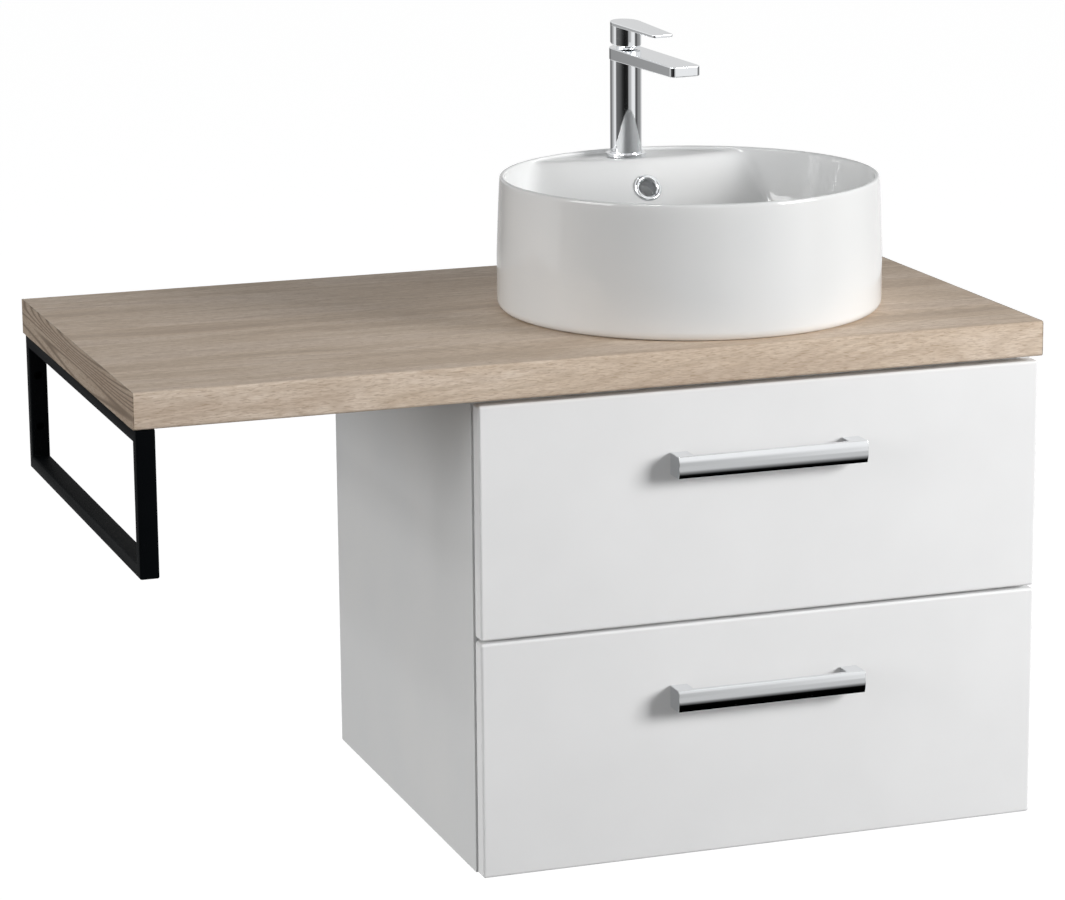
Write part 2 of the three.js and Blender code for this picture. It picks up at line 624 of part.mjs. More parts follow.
// The overflow's duct: down behind the bowl, then forward under its floor to the waste.
function duct(wall) {
  const half = DUCT_WIDTH / 2 + wall;
  const front = overflowDepth + 2 * DUCT_WALL - wall;
  const back = front + DUCT_DEPTH + 2 * wall;
  const foot = wall > 0 ? -OVERSHOOT : DUCT_FLOOR;
  const shape = polygon([
    [0, foot], [back, foot], [back, overflowHeight + OVERFLOW_BORE_RADIUS + wall],
    [front, overflowHeight + OVERFLOW_BORE_RADIUS + wall],
    [front, DUCT_FLOOR + DUCT_DEPTH + wall], [0, DUCT_FLOOR + DUCT_DEPTH + wall],
  ]);
  return solid(drawnAlongX(shape, -half, half));
}

function basin() {
  const skin = bowlRoom(BASIN_WALL);
  const boss = solid(disc(WASTE_BOSS_RADIUS, -OVERSHOOT, BOWL_FLOOR));
  const ductHousing = duct(DUCT_WALL);
  const underside = cut(basinOutside(BASIN_WALL, deckTop - DECK_THICKNESS), skin, boss, ductHousing);
  const wasteHole = solid(disc(WASTE_BODY_RADIUS + 2 * SEAT, -OVERSHOOT, BOWL_FLOOR + OVERSHOOT));
  const seatFloor = BOWL_FLOOR - WASTE_FLANGE - SEAT;
  const wasteSeat = solid(disc(WASTE_FLANGE_RADIUS + SEAT, seatFloor, BOWL_CORNER_TOP));
  const tapHole = disc(TAP_HOLE_RADIUS, deckTop - 2 * DECK_THICKNESS, BASIN_HEIGHT + OVERSHOOT);
  tapHole.translate(TAP_OFF_CENTRE, TAP_BEHIND_BASIN_AXIS, 0);
  const sleeve = OVERFLOW_SLEEVE_RADIUS + SEAT;
  const overflowHole = faceOverflow(disc(sleeve, -2 * DUCT_WALL - DUCT_DEPTH / 2, OVERSHOOT));
  const ductRoom = duct(0).subtract(solid(disc(WASTE_BODY_RADIUS, -OVERSHOOT, BOWL_FLOOR)));
  const whole = basinOutside(0, BASIN_HEIGHT);
  const bowl = cut(whole, bowlRoom(0), underside, wasteHole, wasteSeat);
  return cut(bowl, solid(tapHole), solid(overflowHole), ductRoom);
}

function overflowRing() {
  const lip = OVERFLOW_LIP;
  const bore = OVERFLOW_BORE_RADIUS;
  const outline = [
    [bore, -OVERFLOW_SLEEVE_LENGTH], [OVERFLOW_SLEEVE_RADIUS, -OVERFLOW_SLEEVE_LENGTH],
    [OVERFLOW_SLEEVE_RADIUS, SEAT], [OVERFLOW_RING_RADIUS, SEAT], [OVERFLOW_RING_RADIUS, 0.4 * lip],
    [OVERFLOW_RING_RADIUS - 0.6 * lip, lip], [bore + 0.6 * lip, lip], [bore, 0.3 * lip],
  ];
  return faceOverflow(turnedRing(outline, 40).translate(0, 0, SEAT));
}

// ---------------------------------------------------------------- waste and trap
const wasteTop = BOWL_FLOOR;
const wasteEnd = -SEAT - WORKTOP_THICKNESS - WASTE_TAIL;

// The waste body: a flanged tube with two overflow windows and a three-armed guide for the plug's stem.
function wasteBody() {
  const outline = [
    [WASTE_BORE_RADIUS, wasteEnd], [WASTE_BODY_RADIUS, wasteEnd],
    [WASTE_BODY_RADIUS, wasteTop - WASTE_FLANGE],
    [WASTE_FLANGE_RADIUS, wasteTop - WASTE_FLANGE], [WASTE_FLANGE_RADIUS, wasteTop - 1],
    [WASTE_FLANGE_RADIUS - 1, wasteTop], [WASTE_BORE_RADIUS + 3, wasteTop], [WASTE_BORE_RADIUS, wasteTop - 3],
  ];
  const tube = solid(turnedRing(outline));
  const windowReach = WASTE_BODY_RADIUS + OVERSHOOT;
  const openings = block([-WINDOW_WIDTH / 2, -windowReach, DUCT_FLOOR],
    [WINDOW_WIDTH / 2, windowReach, DUCT_FLOOR + DUCT_DEPTH]);
  const hub = PLUG_STEM_RADIUS + SEAT;
  const guideTop = wasteTop - GUIDE_DEPTH;
  const guideFoot = guideTop - GUIDE_HEIGHT;
  const hubOuter = hub + GUIDE_WALL;
  const ring = solid(turnedRing(rectangle(hub, guideFoot, hubOuter, guideTop)));
  const arms = [0, 1, 2].map((i) => {
    const arm = block([hub + GUIDE_WALL / 2, -GUIDE_ARM / 2, guideFoot],
      [WASTE_BORE_RADIUS + GUIDE_WALL / 2, GUIDE_ARM / 2, guideTop]);
    return solid(arm.rotateZ((i * 2 * Math.PI) / 3));
  });
  return join(tube.subtract(solid(openings)), ring, ...arms);
}

// The pop-up plug: a low crowned cap, a neck inside the bore and a stem down to the guide.
function wastePlug() {
  const seat = wasteTop + SEAT;
  const neck = WASTE_BORE_RADIUS - 2;
  return turned([
    [0, wasteTop - PLUG_STEM_LENGTH], [PLUG_STEM_RADIUS, wasteTop - PLUG_STEM_LENGTH],
    [PLUG_STEM_RADIUS, wasteTop - 1.2 * PLUG_NECK], [neck, wasteTop - PLUG_NECK],
    [neck, seat], [PLUG_RADIUS, seat], [PLUG_RADIUS + 1, seat + 0.4 * PLUG_CROWN],
    [PLUG_RADIUS - 1.5, seat + 0.8 * PLUG_CROWN], [PLUG_RADIUS * 0.6, seat + PLUG_CROWN],
    [0, seat + PLUG_CROWN],
  ]);
}

// A hexagonal or round nut: a ring with a chosen number of sides outside.
function nut(outer, bore, bottom, top, sides) {
  return solid(disc(outer, bottom, top, sides)).subtract(solid(disc(bore, bottom - 1, top + 1, 36)));
}

function addBasin() {
  const group = new THREE.Group();
  group.position.set(0, -BASIN_FROM_WALL, basinBase);
  vanity.add(group);
  piece('basin', basin(), glaze, group);
  piece('overflow_ring', overflowRing(), chrome, group);
  piece('waste_body', wasteBody(), chrome, group);
  piece('waste_plug', wastePlug(), chrome, group);
  const under = -SEAT - WORKTOP_THICKNESS;
  const bore = WASTE_BODY_RADIUS + SEAT;
  const sealTop = under - SEAT;
  const seal = nut(WASTE_SEAL_RADIUS, bore, sealTop - WASTE_SEAL, sealTop, ROUND);
  piece('waste_seal', seal, blackRubber, group);
  const nutTop = sealTop - WASTE_SEAL - SEAT;
  piece('waste_nut', nut(WASTE_NUT_RADIUS, bore, nutTop - WASTE_NUT, nutTop, 8), whitePlastic, group);
  addTrap(group);
}

// Bottle trap: a coupling nut holds the inlet tube to the waste, the tube dips into the bottle, and the
// outlet pipe runs back to the wall under the hanging rail.
function addTrap(group) {
  const bore = WASTE_BODY_RADIUS + SEAT;
  const collarFoot = wasteEnd - SEAT - 2;
  const tubeOuter = PIPE_RADIUS;
  const tubeInner = PIPE_RADIUS - PIPE_WALL;
  const lipTop = collarFoot - SEAT;
  const couplingFoot = lipTop - TRAP_NUT_WALL;
  const coupling = turnedRing([
    [tubeOuter + SEAT, couplingFoot], [COUPLING_RADIUS, couplingFoot],
    [COUPLING_RADIUS, couplingFoot + COUPLING_HEIGHT], [bore, couplingFoot + COUPLING_HEIGHT],
    [bore, lipTop], [tubeOuter + SEAT, lipTop],
  ]);
  piece('trap_coupling_nut', coupling, chrome, group);

  const outletHeight = -cabinetTop - OUTLET_BELOW_RAIL - basinBase;
  const bottleTop = outletHeight + OUTLET_SOCKET_RADIUS + BOTTLE_CAP;
  const bottleFoot = bottleTop - BOTTLE_HEIGHT;
  const dip = outletHeight - OUTLET_SOCKET_RADIUS;
  const tube = turnedRing([
    [tubeInner, dip], [tubeOuter, dip], [tubeOuter, collarFoot], [WASTE_BODY_RADIUS, collarFoot],
    [WASTE_BODY_RADIUS, wasteEnd - SEAT], [tubeInner, wasteEnd - SEAT],
  ]);
  piece('trap_inlet_tube', tube, chrome, group);

  const nutOuter = BOTTLE_RADIUS + TRAP_NUT_WALL;
  const capTop = bottleTop + TRAP_NUT_WALL + SEAT;
  const capFoot = bottleTop - BOTTLE_CAP + TRAP_NUT_WALL;
  const cap = turnedRing([
    [BOTTLE_RADIUS + SEAT, capFoot], [nutOuter, capFoot],
    [nutOuter, capTop - 3], [nutOuter - 3, capTop], [tubeOuter + SEAT, capTop],
    [tubeOuter + SEAT, bottleTop + SEAT], [BOTTLE_RADIUS + SEAT, bottleTop + SEAT],
  ]);
  piece('trap_cap_nut', cap, chrome, group);

  const inside = BOTTLE_RADIUS - BOTTLE_WALL;
  const bottle = solid(turned([
    [0, bottleFoot], [BOTTLE_FOOT_RADIUS, bottleFoot], [BOTTLE_RADIUS - 4, bottleFoot + 4],
    [BOTTLE_RADIUS, bottleFoot + BOTTLE_SHOULDER], [BOTTLE_RADIUS, bottleTop], [0, bottleTop],
  ]));
  const outward = new THREE.Matrix4().makeRotationX(-Math.PI / 2).setPosition(0, 0, outletHeight);
  const socket = disc(OUTLET_SOCKET_RADIUS, 0, OUTLET_SOCKET_REACH).applyMatrix4(outward);
  const socketBore = disc(PIPE_RADIUS + SEAT, 0, OUTLET_SOCKET_REACH + OVERSHOOT).applyMatrix4(outward);
  const hollow = solid(turned([
    [0, bottleFoot + BOTTLE_WALL], [BOTTLE_FOOT_RADIUS, bottleFoot + BOTTLE_WALL],
    [inside, bottleFoot + BOTTLE_SHOULDER],
    [inside, bottleTop + OVERSHOOT], [0, bottleTop + OVERSHOOT],
  ]));
  piece('trap_bottle', cut(join(bottle, solid(socket)), solid(socketBore), hollow), chrome, group);

  const pipeStart = OUTLET_SOCKET_REACH - OUTLET_INSERTION;
  const pipe = turnedRing([
    [tubeInner, pipeStart], [tubeOuter, pipeStart],
    [tubeOuter, BASIN_FROM_WALL - SEAT], [tubeInner, BASIN_FROM_WALL - SEAT],
  ]);
  piece('trap_outlet_pipe', pipe.applyMatrix4(outward), chrome, group);
  const back = BASIN_FROM_WALL - SEAT;
  const rosette = turnedRing([
    [tubeOuter + SEAT, back - ROSETTE_DEPTH], [tubeOuter + 5, back - ROSETTE_DEPTH],
    [ROSETTE_RADIUS, back - 1],
    [ROSETTE_RADIUS, back], [ROSETTE_RADIUS - 3, back], [tubeOuter + SEAT, back - ROSETTE_DEPTH + 3],
  ]);
  piece('wall_rosette', rosette.applyMatrix4(outward), chrome, group);
}

// ---------------------------------------------------------------- tap
const pivot = SPOUT_TOP + PIVOT_ABOVE_SPOUT;

// Side view of the spout: a flat slab that falls a little and thins towards its tip.
function spout() {
  const back = TAP_COLUMN_RADIUS + OVERSHOOT;
  const topAt = (y) => SPOUT_TOP + y * SPOUT_FALL;
  const side = polygon([
    [back, topAt(back)], [-SPOUT_REACH, topAt(-SPOUT_REACH)],
    [-SPOUT_REACH, topAt(-SPOUT_REACH) - SPOUT_TIP_THICKNESS], [back, topAt(back) - SPOUT_ROOT_THICKNESS],
  ].reverse());
  const plan = bladePlan(SPOUT_HALF_WIDTH, SPOUT_HALF_WIDTH, SPOUT_REACH, SPOUT_CORNER_RADIUS);
  const slab = solid(drawnAlongX(side, -2 * TAP_COLUMN_RADIUS, 2 * TAP_COLUMN_RADIUS));
  return slab.intersect(solid(raised(plan, 0, 2 * SPOUT_TOP, 10)));
}

// Plan of a flat arm: a round back about the axis, straight sides and a tip with rounded corners.
function bladePlan(backRadius, tipHalf, reach, corner) {
  const shape = new THREE.Shape();
  shape.absarc(0, 0, backRadius, 0, Math.PI, false);
  shape.lineTo(-tipHalf, corner - reach);
  shape.absarc(corner - tipHalf, corner - reach, corner, Math.PI, 1.5 * Math.PI, false);
  shape.absarc(tipHalf - corner, corner - reach, corner, 1.5 * Math.PI, 2 * Math.PI, false);
  shape.closePath();
  return shape;
}

function tapBody() {
  const column = solid(disc(TAP_COLUMN_RADIUS, SEAT, SPOUT_TOP - 1));
  const boreFoot = SPOUT_TOP - CARTRIDGE_HEIGHT - SEAT;
  const bore = solid(disc(CARTRIDGE_RADIUS + SEAT, boreFoot, SPOUT_TOP + OVERSHOOT, 36));
  const footHole = (radius, x, y) => solid(disc(radius, -OVERSHOOT, INLET_DEPTH, 20).translate(x, y, 0));
  const leftInlet = footHole(INLET_RADIUS, -INLET_SPACING / 2, -INLET_AHEAD_OF_AXIS);
  const rightInlet = footHole(INLET_RADIUS, INLET_SPACING / 2, -INLET_AHEAD_OF_AXIS);
  const studHole = footHole(STUD_RADIUS + SEAT, 0, STUD_BEHIND_AXIS);
  const under = SPOUT_TOP - SPOUT_REACH * SPOUT_FALL - SPOUT_TIP_THICKNESS;
  const aeratorY = AERATOR_INSET - SPOUT_REACH;
  const seat = solid(disc(AERATOR_RADIUS + SEAT, under - OVERSHOOT, under + AERATOR_DEPTH + SEAT, 32)
    .translate(0, aeratorY, 0));
  return cut(join(column, spout()), bore, leftInlet, rightInlet, studHole, seat);
}

function lever() {
  const topAt = (y) => LEVER_TOP + y * LEVER_FALL;
  const back = LEVER_RADIUS + OVERSHOOT;
  const blade = polygon([
    [back, topAt(back)], [-LEVER_REACH, topAt(-LEVER_REACH)],
    [-LEVER_REACH, topAt(-LEVER_REACH) - LEVER_BLADE + 1],
    [back, topAt(back) - LEVER_BLADE],
  ].reverse());
  const plan = bladePlan(LEVER_RADIUS, LEVER_TIP_WIDTH / 2, LEVER_REACH, LEVER_CORNER_RADIUS);
  const wide = 2 * LEVER_RADIUS;
  const paddle = solid(drawnAlongX(blade, -wide, wide)).intersect(solid(raised(plan, -wide, 2 * wide, 12)));
  const housing = solid(turned([
    [0, -LEVER_SKIRT], [LEVER_RADIUS - LEVER_TAPER, -LEVER_SKIRT],
    [LEVER_RADIUS - LEVER_TAPER / 3, LEVER_TAPER_HEIGHT / 2 - LEVER_SKIRT],
    [LEVER_RADIUS, LEVER_TAPER_HEIGHT - LEVER_SKIRT],
    [LEVER_RADIUS, topAt(0) + 3], [0, topAt(0) + 3],
  ]));
  const above = polygon([[back, topAt(back) - 1], [back, 4 * LEVER_TOP], [-back, 4 * LEVER_TOP],
    [-back, topAt(-back) - 1]]);
  const trimmed = housing.subtract(solid(drawnAlongX(above, -wide, wide)));
  const room = DOME_RADIUS + DOME_CLEARANCE;
  const ball = solid(new THREE.SphereGeometry(room, 24, 16));
  const skirtRoom = solid(disc(room, -2 * LEVER_SKIRT, 0, 24));
  const ceiling = solid(block([-wide, -wide, LEVER_CEILING], [wide, wide, wide]));
  const cavity = join(ball, skirtRoom).subtract(ceiling);
  const boss = solid(disc(STEM_RADIUS + 2, DOME_TOP - 0.5, LEVER_CEILING + 1, 24));
  const socket = solid(disc(STEM_RADIUS + SEAT, -LEVER_SKIRT, LEVER_CEILING, 24));
  return cut(join(cut(join(trimmed, paddle), cavity), boss), socket);
}

function addTap() {
  const group = new THREE.Group();
  const tapAxis = TAP_BEHIND_BASIN_AXIS - BASIN_FROM_WALL;
  group.position.set(TAP_OFF_CENTRE, tapAxis, basinBase + deckTop);
  group.rotation.z = THREE.MathUtils.degToRad(TAP_TURN);
  vanity.add(group);
  piece('tap_body', tapBody(), chrome, group);
  const ringBore = TAP_COLUMN_RADIUS + SEAT;
  const ringTop = SEAT + TAP_RING_HEIGHT;
  piece('tap_base_ring', turnedRing([
    [ringBore, SEAT], [TAP_RING_RADIUS, SEAT], [TAP_RING_RADIUS, ringTop - 1.2],
    [TAP_RING_RADIUS - 1.2, ringTop], [ringBore, ringTop],
  ]), chrome, group);

  const cartridgeFoot = SPOUT_TOP - CARTRIDGE_HEIGHT;
  const shoulder = SPOUT_TOP - 3.4;
  const neck = DOME_OPENING_RADIUS - 2 * SEAT;
  piece('cartridge', turned([
    [0, cartridgeFoot], [CARTRIDGE_RADIUS, cartridgeFoot], [CARTRIDGE_RADIUS, shoulder], [neck, shoulder],
    [neck, pivot - 6], [0, pivot - 6],
  ], 32), whitePlastic, group);
  piece('cartridge_dome_nut', domeNut(shoulder + SEAT), chrome, group);
  piece('stem_carrier', disc(neck - 0.5, pivot - 6 + SEAT, pivot - 1, 24), brass, group);
  const under = SPOUT_TOP - SPOUT_REACH * SPOUT_FALL - SPOUT_TIP_THICKNESS;
  const aerator = turned([
    [0, under - 1], [AERATOR_RADIUS - 1, under - 1], [AERATOR_RADIUS, under],
    [AERATOR_RADIUS, under + AERATOR_DEPTH], [0, under + AERATOR_DEPTH],
  ], 32).translate(0, AERATOR_INSET - SPOUT_REACH, 0);
  piece('aerator', aerator, chrome, group);

  const leverGroup = new THREE.Group();
  leverGroup.position.z = pivot;
  group.add(leverGroup);
  piece('lever', lever(), chrome, leverGroup);
  piece('lever_stem', disc(STEM_RADIUS, 0.9, LEVER_CEILING - SEAT, 24), brass, leverGroup);

  const studTop = INLET_DEPTH - 1;
  const stud = disc(STUD_RADIUS, studTop - STUD_LENGTH, studTop, 20).translate(0, STUD_BEHIND_AXIS, 0);
  piece('tap_stud', stud, zincSteel, group);
  const clampTop = -DECK_THICKNESS - SEAT;
  piece('tap_clamp_plate', clampPlate(clampTop), zincSteel, group);
  const nutTop = clampTop - CLAMP_THICKNESS - SEAT;
  const studNut = nut(STUD_NUT_RADIUS, STUD_RADIUS + SEAT, nutTop - STUD_NUT_HEIGHT, nutTop, 6);
  piece('tap_stud_nut', surface(studNut).translate(0, STUD_BEHIND_AXIS, 0), brass, group);
}

// The ring nut that holds the cartridge down: a threaded foot, a neck and a ball-shaped cover.
function domeNut(foot) {
  const bore = DOME_OPENING_RADIUS;
  const outline = [[bore, foot], [CARTRIDGE_RADIUS, foot], [CARTRIDGE_RADIUS, SPOUT_TOP - 0.5],
    [DOME_NECK_RADIUS, SPOUT_TOP - 0.5]];
  const low = -Math.acos(DOME_NECK_RADIUS / DOME_RADIUS);
  const high = Math.asin(DOME_TOP / DOME_RADIUS);
  for (let i = 0; i <= 8; i += 1) {
    const angle = low + ((high - low) * i) / 8;
    outline.push([DOME_RADIUS * Math.cos(angle), pivot + DOME_RADIUS * Math.sin(angle)]);
  }
  outline.push([bore, pivot + DOME_TOP]);
  return turnedRing(outline);
}

// A horseshoe plate: it clamps the deck from below and leaves room for the hoses at its open side.
function clampPlate(top) {
  const shape = new THREE.Shape();
  const mouth = CLAMP_MOUTH / 2;
  const start = -Math.PI / 2 + Math.asin(mouth / CLAMP_RADIUS);
  shape.absarc(0, 0, CLAMP_RADIUS, start, 1.5 * Math.PI - Math.asin(mouth / CLAMP_RADIUS), false);
  shape.lineTo(-mouth, -CLAMP_MOUTH_DEPTH);
  shape.absarc(0, -CLAMP_MOUTH_DEPTH, mouth, Math.PI, 0, true);
  shape.closePath();
  const plate = solid(raised(shape, top - CLAMP_THICKNESS, top, 16));
  const hole = disc(STUD_RADIUS + SEAT, top - 2 * CLAMP_THICKNESS, top + 1, 20);
  return plate.subtract(solid(hole.translate(0, STUD_BEHIND_AXIS, 0)));
}

addCabinet();
addWorktop();
addBracket();
addDrawer('upper_drawer', splitHeight + FRONT_SPLIT / 2, cabinetTop - FRONT_TOP_REVEAL, true);
addDrawer('lower_drawer', cabinetBottom, splitHeight - FRONT_SPLIT / 2, false);
addBasin();
addTap();

export default vanity;
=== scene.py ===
import math

import bmesh
import bpy
import numpy as np
from mathutils import Matrix, Vector
from mathutils.kdtree import KDTree


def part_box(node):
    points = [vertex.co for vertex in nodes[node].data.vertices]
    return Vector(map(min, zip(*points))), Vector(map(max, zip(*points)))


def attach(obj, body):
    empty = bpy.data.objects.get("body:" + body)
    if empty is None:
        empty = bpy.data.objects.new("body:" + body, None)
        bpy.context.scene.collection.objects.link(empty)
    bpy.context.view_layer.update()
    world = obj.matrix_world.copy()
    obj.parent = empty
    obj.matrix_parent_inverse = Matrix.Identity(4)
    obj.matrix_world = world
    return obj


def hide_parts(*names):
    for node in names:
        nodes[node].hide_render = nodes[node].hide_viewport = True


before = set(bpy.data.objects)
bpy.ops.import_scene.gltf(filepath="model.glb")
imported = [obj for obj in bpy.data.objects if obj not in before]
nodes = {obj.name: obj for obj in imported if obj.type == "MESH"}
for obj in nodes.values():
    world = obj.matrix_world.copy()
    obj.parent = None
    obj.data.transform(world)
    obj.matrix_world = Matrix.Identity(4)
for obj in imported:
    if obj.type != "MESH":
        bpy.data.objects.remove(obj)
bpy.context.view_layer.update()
mm = 0.001


# ------------------------------------------------------------------ studio
# A white floor under a large soft box to the front right, a second one to the left and a faint one ahead.
# Toned paper cards give polished metal its bands. Nothing here belongs to the vanity.
def linear(code):
    """An sRGB hex colour as the linear colour that a shader takes."""
    parts = [int(code[i:i + 2], 16) / 255 for i in (1, 3, 5)]
    return tuple(c / 12.92 if c <= 0.04045 else ((c + 0.055) / 1.055) ** 2.4 for c in parts) + (1.0,)


def add_node(tree, kind, inputs=None, stops=None, **settings):
    """Adds one node with its settings. Inputs are values, or the outputs that feed them."""
    made = tree.nodes.new(kind)
    for name, value in settings.items():
        setattr(made, name, value)
    for name, value in (inputs or {}).items():
        if isinstance(value, bpy.types.NodeSocket):
            tree.links.new(value, made.inputs[name])
        else:
            made.inputs[name].default_value = value
    if stops:
        ramp = made.color_ramp
        while len(ramp.elements) < len(stops):
            ramp.elements.new(0.5)
        for element, (place, value) in zip(ramp.elements, stops):
            element.position = place
            element.color = linear(value) if isinstance(value, str) else (value, value, value, 1.0)
    return made


def new_material(name):
    made = bpy.data.materials.new(name)
    made.use_nodes = True
    made.node_tree.nodes.clear()
    return made, made.node_tree


camera_data = bpy.data.cameras.new("camera")
camera_data.sensor_fit = "HORIZONTAL"
camera_data.sensor_width = 36
camera_data.lens = 129.137
camera_data.clip_end = 60
around, dip, tilt = -19.101, 13.139, -0.489
camera = bpy.data.objects.new("camera", camera_data)
bpy.context.scene.collection.objects.link(camera)
facing = (Matrix.Rotation(math.radians(around), 4, "Z") @ Matrix.Rotation(math.radians(90 - dip), 4, "X")
          @ Matrix.Rotation(math.radians(tilt), 4, "Z"))
camera.matrix_world = Matrix.Translation((-1.42527, -3.90366, 0.82974)) @ facing
bpy.context.scene.camera = camera
bpy.context.scene.view_settings.view_transform = "Standard"

# Each box has its place, width and height in metres, and its power in watts.
subject = Vector((-0.1, -0.3, 0.0))
soft_boxes = [
    ("key_box", (2.5, -2.75, 1.0), 1.5, 1.2, 116),
    ("left_box", (-3.9, -0.9, 0.9), 2.0, 1.8, 66),
    ("front_box", (-0.2, -3.8, 1.8), 1.5, 1.5, 10),
    ("window_pane_left", (-1.74, -1.51, 2.32), 0.26, 1.3, 22),
    ("window_pane_right", (-1.50, -1.79, 2.32), 0.26, 1.3, 22),
]
for name, place, width, height, power in soft_boxes:
    lamp = bpy.data.lights.new(name, "AREA")
    lamp.shape = "RECTANGLE"
    lamp.size = width
    lamp.size_y = height
    lamp.energy = power
    stand = bpy.data.objects.new(name, lamp)
    stand.location = place
    stand.rotation_euler = (subject - Vector(place)).to_track_quat("-Z", "Y").to_euler()
    # The two panes draw highlights on glaze and chrome, and add no light of their own.
    stand.visible_diffuse = not name.startswith("window")
    bpy.context.scene.collection.objects.link(stand)


def in_sight(tree):
    """One for the rays that look at the background or mirror it, zero for those that light the object."""
    path = add_node(tree, "ShaderNodeLightPath")
    looked = add_node(tree, "ShaderNodeMath",
                      {0: path.outputs["Is Camera Ray"], 1: path.outputs["Is Glossy Ray"]},
                      operation="MAXIMUM")
    seen = add_node(tree, "ShaderNodeMath", {0: looked.outputs[0], 1: path.outputs["Is Transmission Ray"]},
                    operation="MAXIMUM")
    return seen.outputs[0]


world = bpy.data.worlds.new("studio_air")
bpy.context.scene.world = world
world.use_nodes = True
air = world.node_tree
air.nodes.clear()
ambient = add_node(air, "ShaderNodeBackground", {"Color": linear("#f4f6f8"), "Strength": 0.16})
plain_white = add_node(air, "ShaderNodeBackground", {"Color": (1, 1, 1, 1), "Strength": 1.0})
either = add_node(air, "ShaderNodeMixShader",
                  {0: in_sight(air), 1: ambient.outputs[0], 2: plain_white.outputs[0]})
add_node(air, "ShaderNodeOutputWorld", {"Surface": either.outputs[0]})

floor_drop, floor_radius = -0.80, 30
bm = bmesh.new()
bmesh.ops.create_circle(bm, cap_ends=True, segments=96, radius=floor_radius,
                        matrix=Matrix.Translation((0, 0, floor_drop)))
floor_mesh = bpy.data.meshes.new("studio_floor")
bm.to_mesh(floor_mesh)
bm.free()
floor = bpy.data.objects.new("studio_floor", floor_mesh)
bpy.context.scene.collection.objects.link(floor)
pale, tree = new_material("pale_studio_floor")
lit = add_node(tree, "ShaderNodeBsdfDiffuse", {"Color": (0.22, 0.22, 0.22, 1)})
own = add_node(tree, "ShaderNodeEmission", {"Color": (1, 1, 1, 1), "Strength": 0.96})
white_floor = add_node(tree, "ShaderNodeAddShader", {0: lit.outputs[0], 1: own.outputs[0]})
bounce = add_node(tree, "ShaderNodeBsdfDiffuse", {"Color": (0.2, 0.2, 0.2, 1)})
seen_floor = add_node(tree, "ShaderNodeMixShader",
                      {0: in_sight(tree), 1: bounce.outputs[0], 2: white_floor.outputs[0]})
add_node(tree, "ShaderNodeOutputMaterial", {"Surface": seen_floor.outputs[0]})
floor_mesh.materials.append(pale)

# Four cards stand where only polished surfaces mirror them. A low paper screen runs round the tap and is
# dark to the front left and beside the key light. A black cloth lies on the floor ahead, for the under
# edges of the handles, a black card overhead draws their top edges, and a grey card hangs behind.
tap_spot = Vector((-0.009, -0.1265, 0))
screen_radius, screen_top = 2.4, 0.45
cloth_rise, overhead, far_back = 0.01, 2.6, 3.4
screen = bmesh.new()
bmesh.ops.create_cone(screen, cap_ends=False, segments=180, radius1=screen_radius, radius2=screen_radius,
                      depth=screen_top - floor_drop,
                      matrix=Matrix.Translation(tap_spot + Vector((0, 0, (screen_top + floor_drop) / 2))))


def card_shape(*corners):
    """A flat card between its corners."""
    bm = bmesh.new()
    bm.faces.new([bm.verts.new(corner) for corner in corners])
    return bm


on_floor = floor_drop + cloth_rise
cloth = card_shape((-3, -2.4, on_floor), (3, -2.4, on_floor), (3, -0.75, on_floor), (-3, -0.75, on_floor))
over = card_shape((-1, -2.8, overhead), (1, -2.8, overhead), (1, -0.5, overhead), (-1, -0.5, overhead))
behind = card_shape((-3, far_back, 0.3), (5, far_back, 0.3), (5, far_back, 2.8), (-3, far_back, 2.8))
# The screen's tone by its place around the tap: 0 and 1 lie to the left, a quarter is straight ahead.
around_tones = [(0.0, 0.15), (0.04, 0.13), (0.08, 0.1), (0.13, 0.03), (0.17, 0.01), (0.235, 0.02),
                (0.252, 0.42), (0.295, 0.55), (0.318, 0.95), (0.38, 1.0), (0.4, 0.15), (0.43, 0.08),
                (0.47, 0.3), (0.54, 0.34), (0.62, 0.85), (0.72, 0.6), (0.79, 0.1), (0.85, 0.3), (0.9, 0.55),
                (0.945, 0.95), (0.975, 0.9), (0.985, 0.2)]
# The screen's paper turns grey towards the floor and white along its top, between these heights.
foot_start, foot_end, head_start, head_end = -0.4, -0.25, 0.08, 0.42
